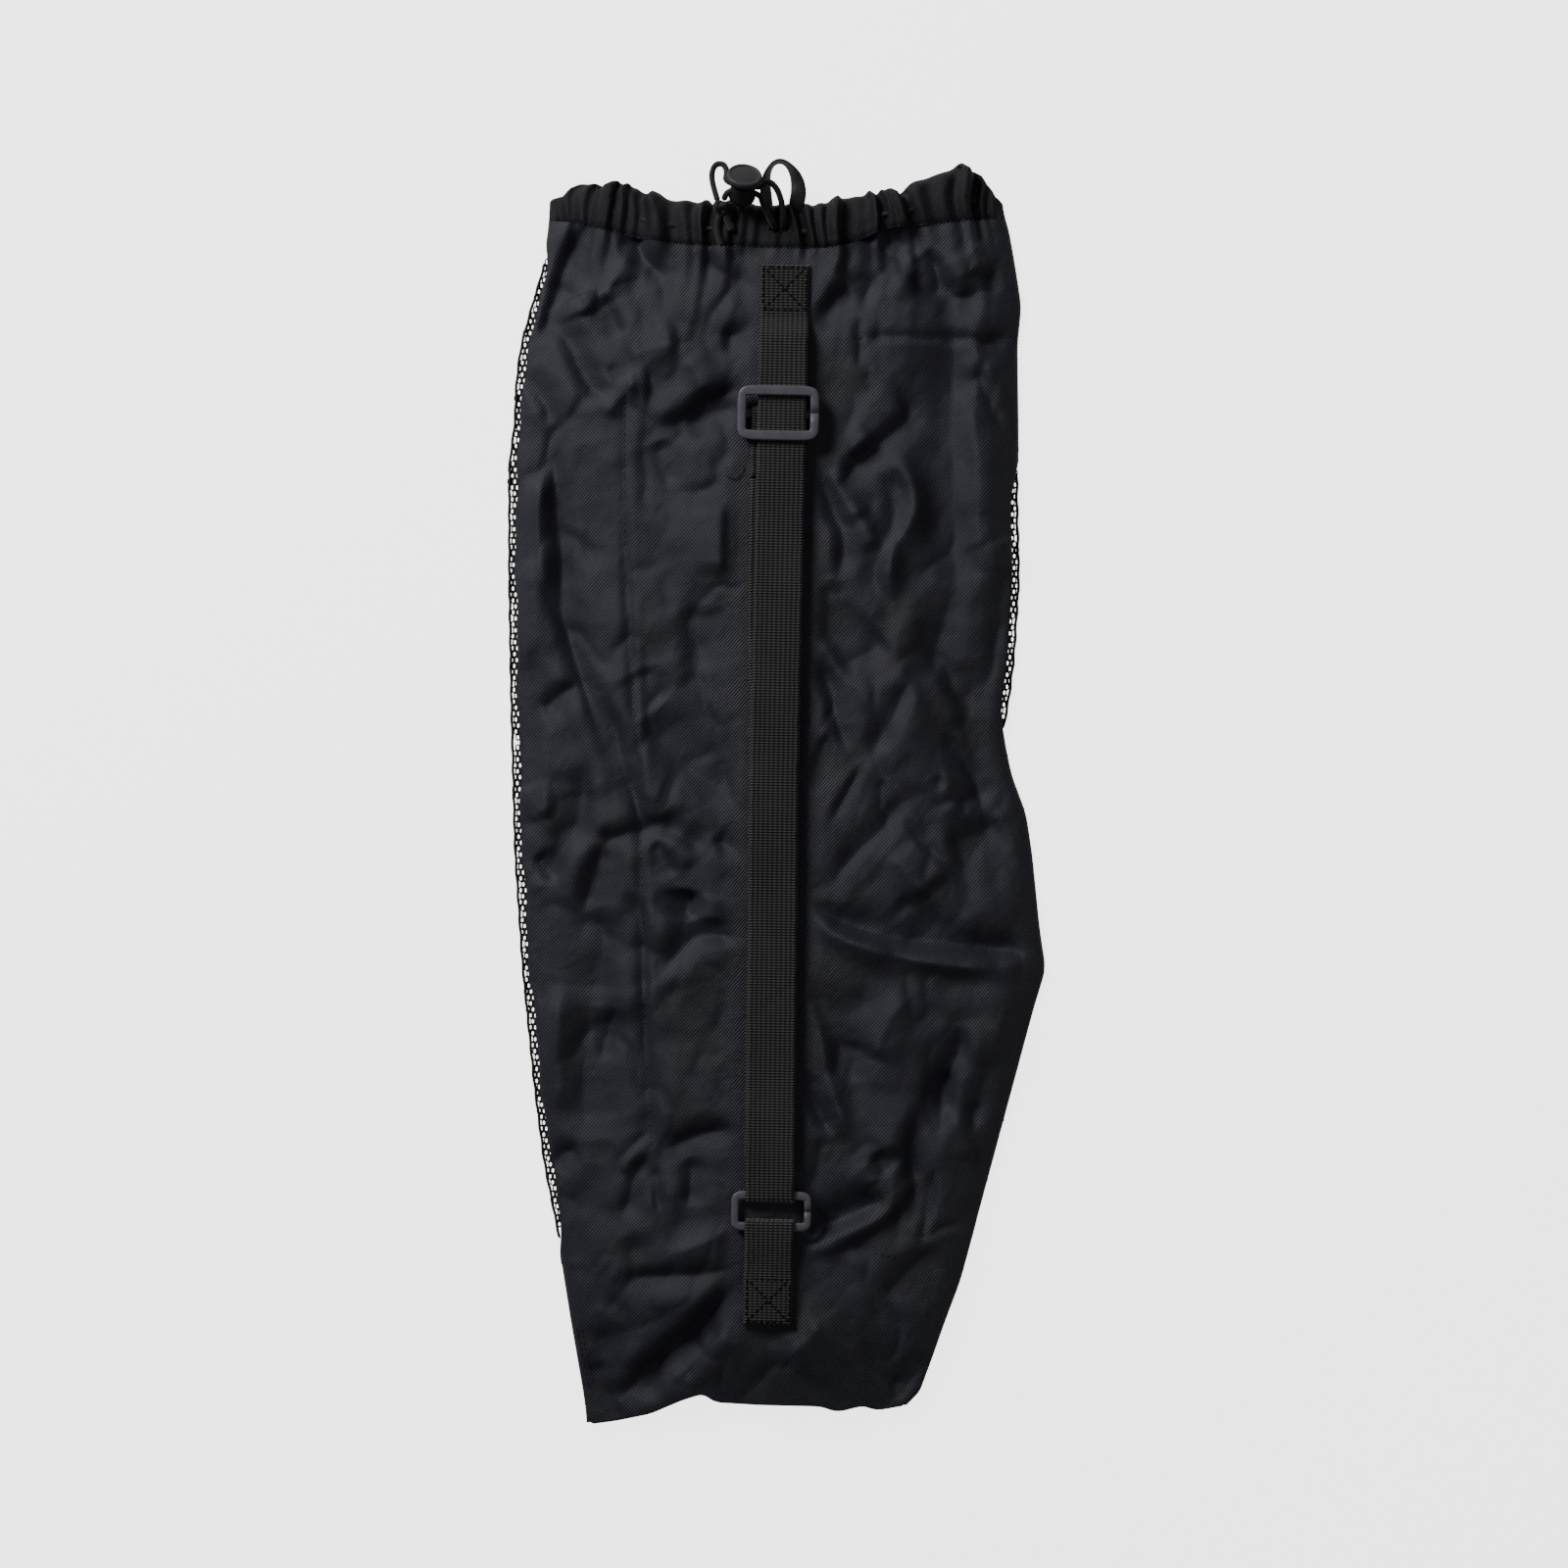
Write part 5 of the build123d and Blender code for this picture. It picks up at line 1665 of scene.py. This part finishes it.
@dataclass
class CordEnds:
    """The two strands out of the slit, their knot, their tails and the ribbon hang loop."""

    finishes: Finishes
    lock: CordLock
    diameter: float = 0.0032
    eye: float = 0.0088
    pitch: float = 0.0036
    knot: Point = (-0.0324, 0.2998, 0.0208)
    knot_scale: float = 0.00102
    knot_lean: float = 0.6
    knot_r: float = 0.0018
    ribbon: float = 0.0082
    ribbon_thick: float = 0.0006
    ribbon_step: float = 0.0007

    def along(self, side: float, distance: float) -> Point:
        """A place on a strand's straight way through the lock.

        Args:
            side: -1 for the near strand, 1 for the far one.
            distance: from the lock's axis, in millimetres.

        Returns:
            The place, in millimetres.
        """
        across = Vector((math.cos(self.lock.turn), math.sin(self.lock.turn), 0))
        side_way = self.lock.axis.cross(across)
        at = (Vector(self.lock.foot) + self.lock.axis * self.eye + side_way * (side * self.pitch / 2)
              + across * (distance * MM))
        return tuple(c / MM for c in at)

    def strand(self, name: str, route_mm: Sequence[Point],
               stands_for: str) -> tuple[bpy.types.Object, np.ndarray]:
        """A plaited cord along the smooth line of a route.

        Args:
            name: the piece's name.
            route_mm: control points, in millimetres.
            stands_for: the CAD node that it replaces.

        Returns:
            The piece and its centreline.
        """
        route = [tuple(c * MM for c in point) for point in route_mm]
        line = evenly(nurbs_line(route, name + "_route"), 0.00032)
        obj = tube_piece(name, line, self.diameter / 2, around=18, braid=0.08)
        seat(obj, "bag", self.finishes.cord, [stands_for])
        return obj, line

    def tie(self) -> bpy.types.Object:
        """The overhand knot: a cord that follows a trefoil, packed tight.

        Returns:
            The new object.
        """
        at = np.linspace(0, 2 * np.pi, 181)
        line = np.stack([np.sin(at) + 1.9 * np.sin(2 * at), np.cos(at) - 1.9 * np.cos(2 * at),
                         -1.15 * np.sin(3 * at)], 1) * self.knot_scale
        turned = line @ np.array(Matrix.Rotation(self.knot_lean, 3, "X")).T + np.array(self.knot)
        obj = tube_piece("cord_knot", turned, self.knot_r, around=16, braid=0.12, blunt=False)
        return seat(obj, "bag", self.finishes.cord, ["drawstring_knot"])

    def cords(self) -> None:
        """Both strands, both tails and the knot."""
        near, near_line = self.strand("strand_near", [
            (-5.2, 290.4, 13.8), (-5.5, 291.6, 18.4), (-8.4, 296.4, 20.6), (-11.3, 301.9, 23.2),
            self.along(-1, 9.0), self.along(-1, -8.8), (-31.2, 303.2, 22.2)], "drawstring_strand_near")
        far, far_line = self.strand("strand_far", [
            (-0.9, 290.4, 13.8), (-0.7, 292.2, 18.3), (-0.9, 298.4, 20.0), (-2.0, 304.9, 20.3),
            (-4.6, 310.9, 20.6), (-9.0, 314.2, 21.5), self.along(1, 8.6), self.along(1, -9.6),
            (-29.8, 318.2, 20.3), (-31.6, 322.6, 19.2), (-36.3, 322.4, 18.5), (-38.1, 316.8, 18.3),
            (-36.6, 309.8, 19.0), (-34.4, 303.0, 20.6)], "drawstring_strand_far")
        tail_near, _ = self.strand("tail_near", [
            (-30.6, 296.6, 20.0), (-29.2, 292.8, 19.1), (-26.2, 288.3, 18.95)], "drawstring_tail_near")
        tail_far, _ = self.strand("tail_far", [
            (-33.6, 296.3, 20.0), (-34.8, 291.0, 19.05), (-33.9, 285.4, 18.97), (-31.7, 280.2, 18.95)],
            "drawstring_tail_far")
        knot = self.tie()
        for piece, line, length, extra in ((near, near_line, NEAR_LENGTH, [knot, tail_near]),
                                           (far, far_line, FAR_LENGTH, [tail_far])):
            run = float(np.linalg.norm(np.diff(line, axis=0), axis=1).sum())
            log.info("%s is %.4f m long", piece.name, run)

    def hang_loop(self) -> None:
        """A twisted ribbon loop: flat at its right foot and on edge at its top and left foot."""
        route = [(5.8, 298.5, 11.5), (5.8, 302.5, 14.6), (7.2, 309.0, 17.4), (5.6, 317.5, 17.6),
                 (-0.6, 325.2, 16.6), (-7.0, 324.0, 16.4), (-10.4, 315.0, 16.0), (-9.8, 307.0, 14.6),
                 (-8.6, 299.5, 11.5)]
        line = evenly(nurbs_line([tuple(c * MM for c in p) for p in route], "loop_route"), self.ribbon_step)
        count = len(line) - 1
        heading = np.gradient(line, axis=0)
        heading /= np.linalg.norm(heading, axis=1)[:, None]
        side, up = [], np.array((0.0, 0.0, 1.0))
        for now in heading:
            flat = np.cross(now, up)
            side.append(flat / np.linalg.norm(flat))
        side = np.array(side)

        def place(u: np.ndarray, v: np.ndarray) -> tuple[np.ndarray, np.ndarray]:
            """Points and UVs of the ribbon."""
            row = np.rint(v * count).astype(int)
            share = row / count
            twist = np.radians(14 + 68 * ease(share, 0.12, 0.52) - 34 * ease(share, 0.56, 0.85))[:, None]
            wide = np.cos(twist) * side[row] + np.sin(twist) * up
            points = line[row] + wide * ((2 * u - 1) * self.ribbon / 2)[:, None]
            return points, np.stack([u * self.ribbon, row * self.ribbon_step], 1)

        obj = sheet_piece("ribbon_loop", 8, count, place)
        thicken(obj, self.ribbon_thick)
        seat(obj, "bag", self.finishes.ribbon, ["hang_loop"])

    def loose_thread(self, relief: ClothRelief) -> None:
        """A stray end of sewing thread beside the strap.

        Args:
            relief: the cloth that it lies on.
        """
        places = np.array([(-28, 163), (-23, 160.2), (-19.8, 163.5), (-18.7, 167.5)]) * MM
        z = relief.height(places[:, 0], places[:, 1]) + 0.0006
        line = evenly(nurbs_line(np.column_stack([places, z]).tolist(), "thread_route"), 0.0003)
        seat(tube_piece("loose_thread", line, 0.00022, around=8), "bag", self.finishes.thread)

    def build(self, relief: ClothRelief) -> None:
        """Builds the cords, the loop and the stray thread.

        Args:
            relief: the front cloth's height, for what lies on it.
        """
        self.cords()
        self.hang_loop()
        self.loose_thread(relief)


# ---------------------------------------------------------------- studio

@dataclass
class Studio:
    """Floor, soft lights and the camera straight above."""

    camera_at: Point = (0.00494, 0.00512, 2.2)
    roll: float = math.radians(1.04)
    lens: float = 97.65
    sensor: float = 36.0
    key_at: Point = (-1.25, 1.4, 1.1)
    fill_at: Point = (1.4, -0.6, 2.0)

    def floor(self) -> None:
        """A plain pale floor."""
        bm = bmesh.new()
        bmesh.ops.create_grid(bm, x_segments=4, y_segments=4, size=3.0)
        obj = piece_from(bm, "floor")
        material = bpy.data.materials.new("floor")
        material.use_nodes = True
        g = Graph(material.node_tree)
        shader = material.node_tree.nodes["Principled BSDF"]
        where = g.node("ShaderNodeTexCoord").outputs["Object"]
        faint = g.node("ShaderNodeTexNoise", {"Vector": where, "Scale": 3.0})
        pale = [(value, value, value, 1) for value in (0.93, 0.96)]
        g.put(shader.inputs["Base Color"], g.between(faint.outputs["Fac"], *pale))
        shader.inputs["Roughness"].default_value = 0.9
        shader.inputs["Emission Color"].default_value = (1, 1, 1, 1)
        seen = g.node("ShaderNodeLightPath").outputs["Is Camera Ray"]
        g.put(shader.inputs["Emission Strength"], g.math("MULTIPLY", seen, FLOOR_GLOW))
        obj.data.materials.append(material)

    def light(self, name: str, at: Point, size: float, power: float) -> None:
        """A square soft light that faces the bag.

        Args:
            name: the light's name.
            at: its place.
            size: its side, in metres.
            power: in watts.
        """
        data = bpy.data.lights.new(name, "AREA")
        data.shape = "SQUARE"
        data.size = size
        data.energy = power
        obj = bpy.data.objects.new(name, data)
        obj.location = at
        obj.rotation_euler = (-Vector(at)).to_track_quat("-Z", "Y").to_euler()
        bpy.context.scene.collection.objects.link(obj)

    def build(self) -> None:
        """Builds the floor, the lights, the sky and the camera."""
        self.floor()
        self.light("key", self.key_at, 0.8, KEY_POWER)
        self.light("fill", self.fill_at, 2.0, FILL_POWER)
        world = bpy.data.worlds.new("studio")
        world.use_nodes = True
        world.node_tree.nodes["Background"].inputs["Color"].default_value = (1, 1, 1, 1)
        world.node_tree.nodes["Background"].inputs["Strength"].default_value = SKY_STRENGTH
        bpy.context.scene.world = world
        data = bpy.data.cameras.new("camera")
        data.lens = self.lens
        data.sensor_width = self.sensor
        data.clip_start = 0.05
        data.clip_end = 50
        camera = bpy.data.objects.new("camera", data)
        camera.location = self.camera_at
        camera.rotation_euler = (0, 0, self.roll)
        bpy.context.scene.collection.objects.link(camera)
        bpy.context.scene.camera = camera


def main() -> None:
    """Builds the studio, then each part of the bag in order."""
    logging.basicConfig(level=logging.INFO, format="%(name)s: %(message)s", stream=sys.stdout)
    Studio().build()
    finishes = Finishes()
    outline = BagOutline()
    relief = ClothRelief(outline)
    sewing = Stitching(finishes)
    lock = CordLock(finishes)
    CordEnds(finishes, lock).build(relief)
    lock.build()
    ClothBody(outline, relief, finishes).build()
    Casing(outline, relief, finishes).build()
    ClothStitching(outline, relief, sewing).build()
    Webbing(finishes, Stitching(finishes, width=0.00055, height=0.0003)).build()
    Hardware(finishes).build()


if __name__ == "__main__":
    main()
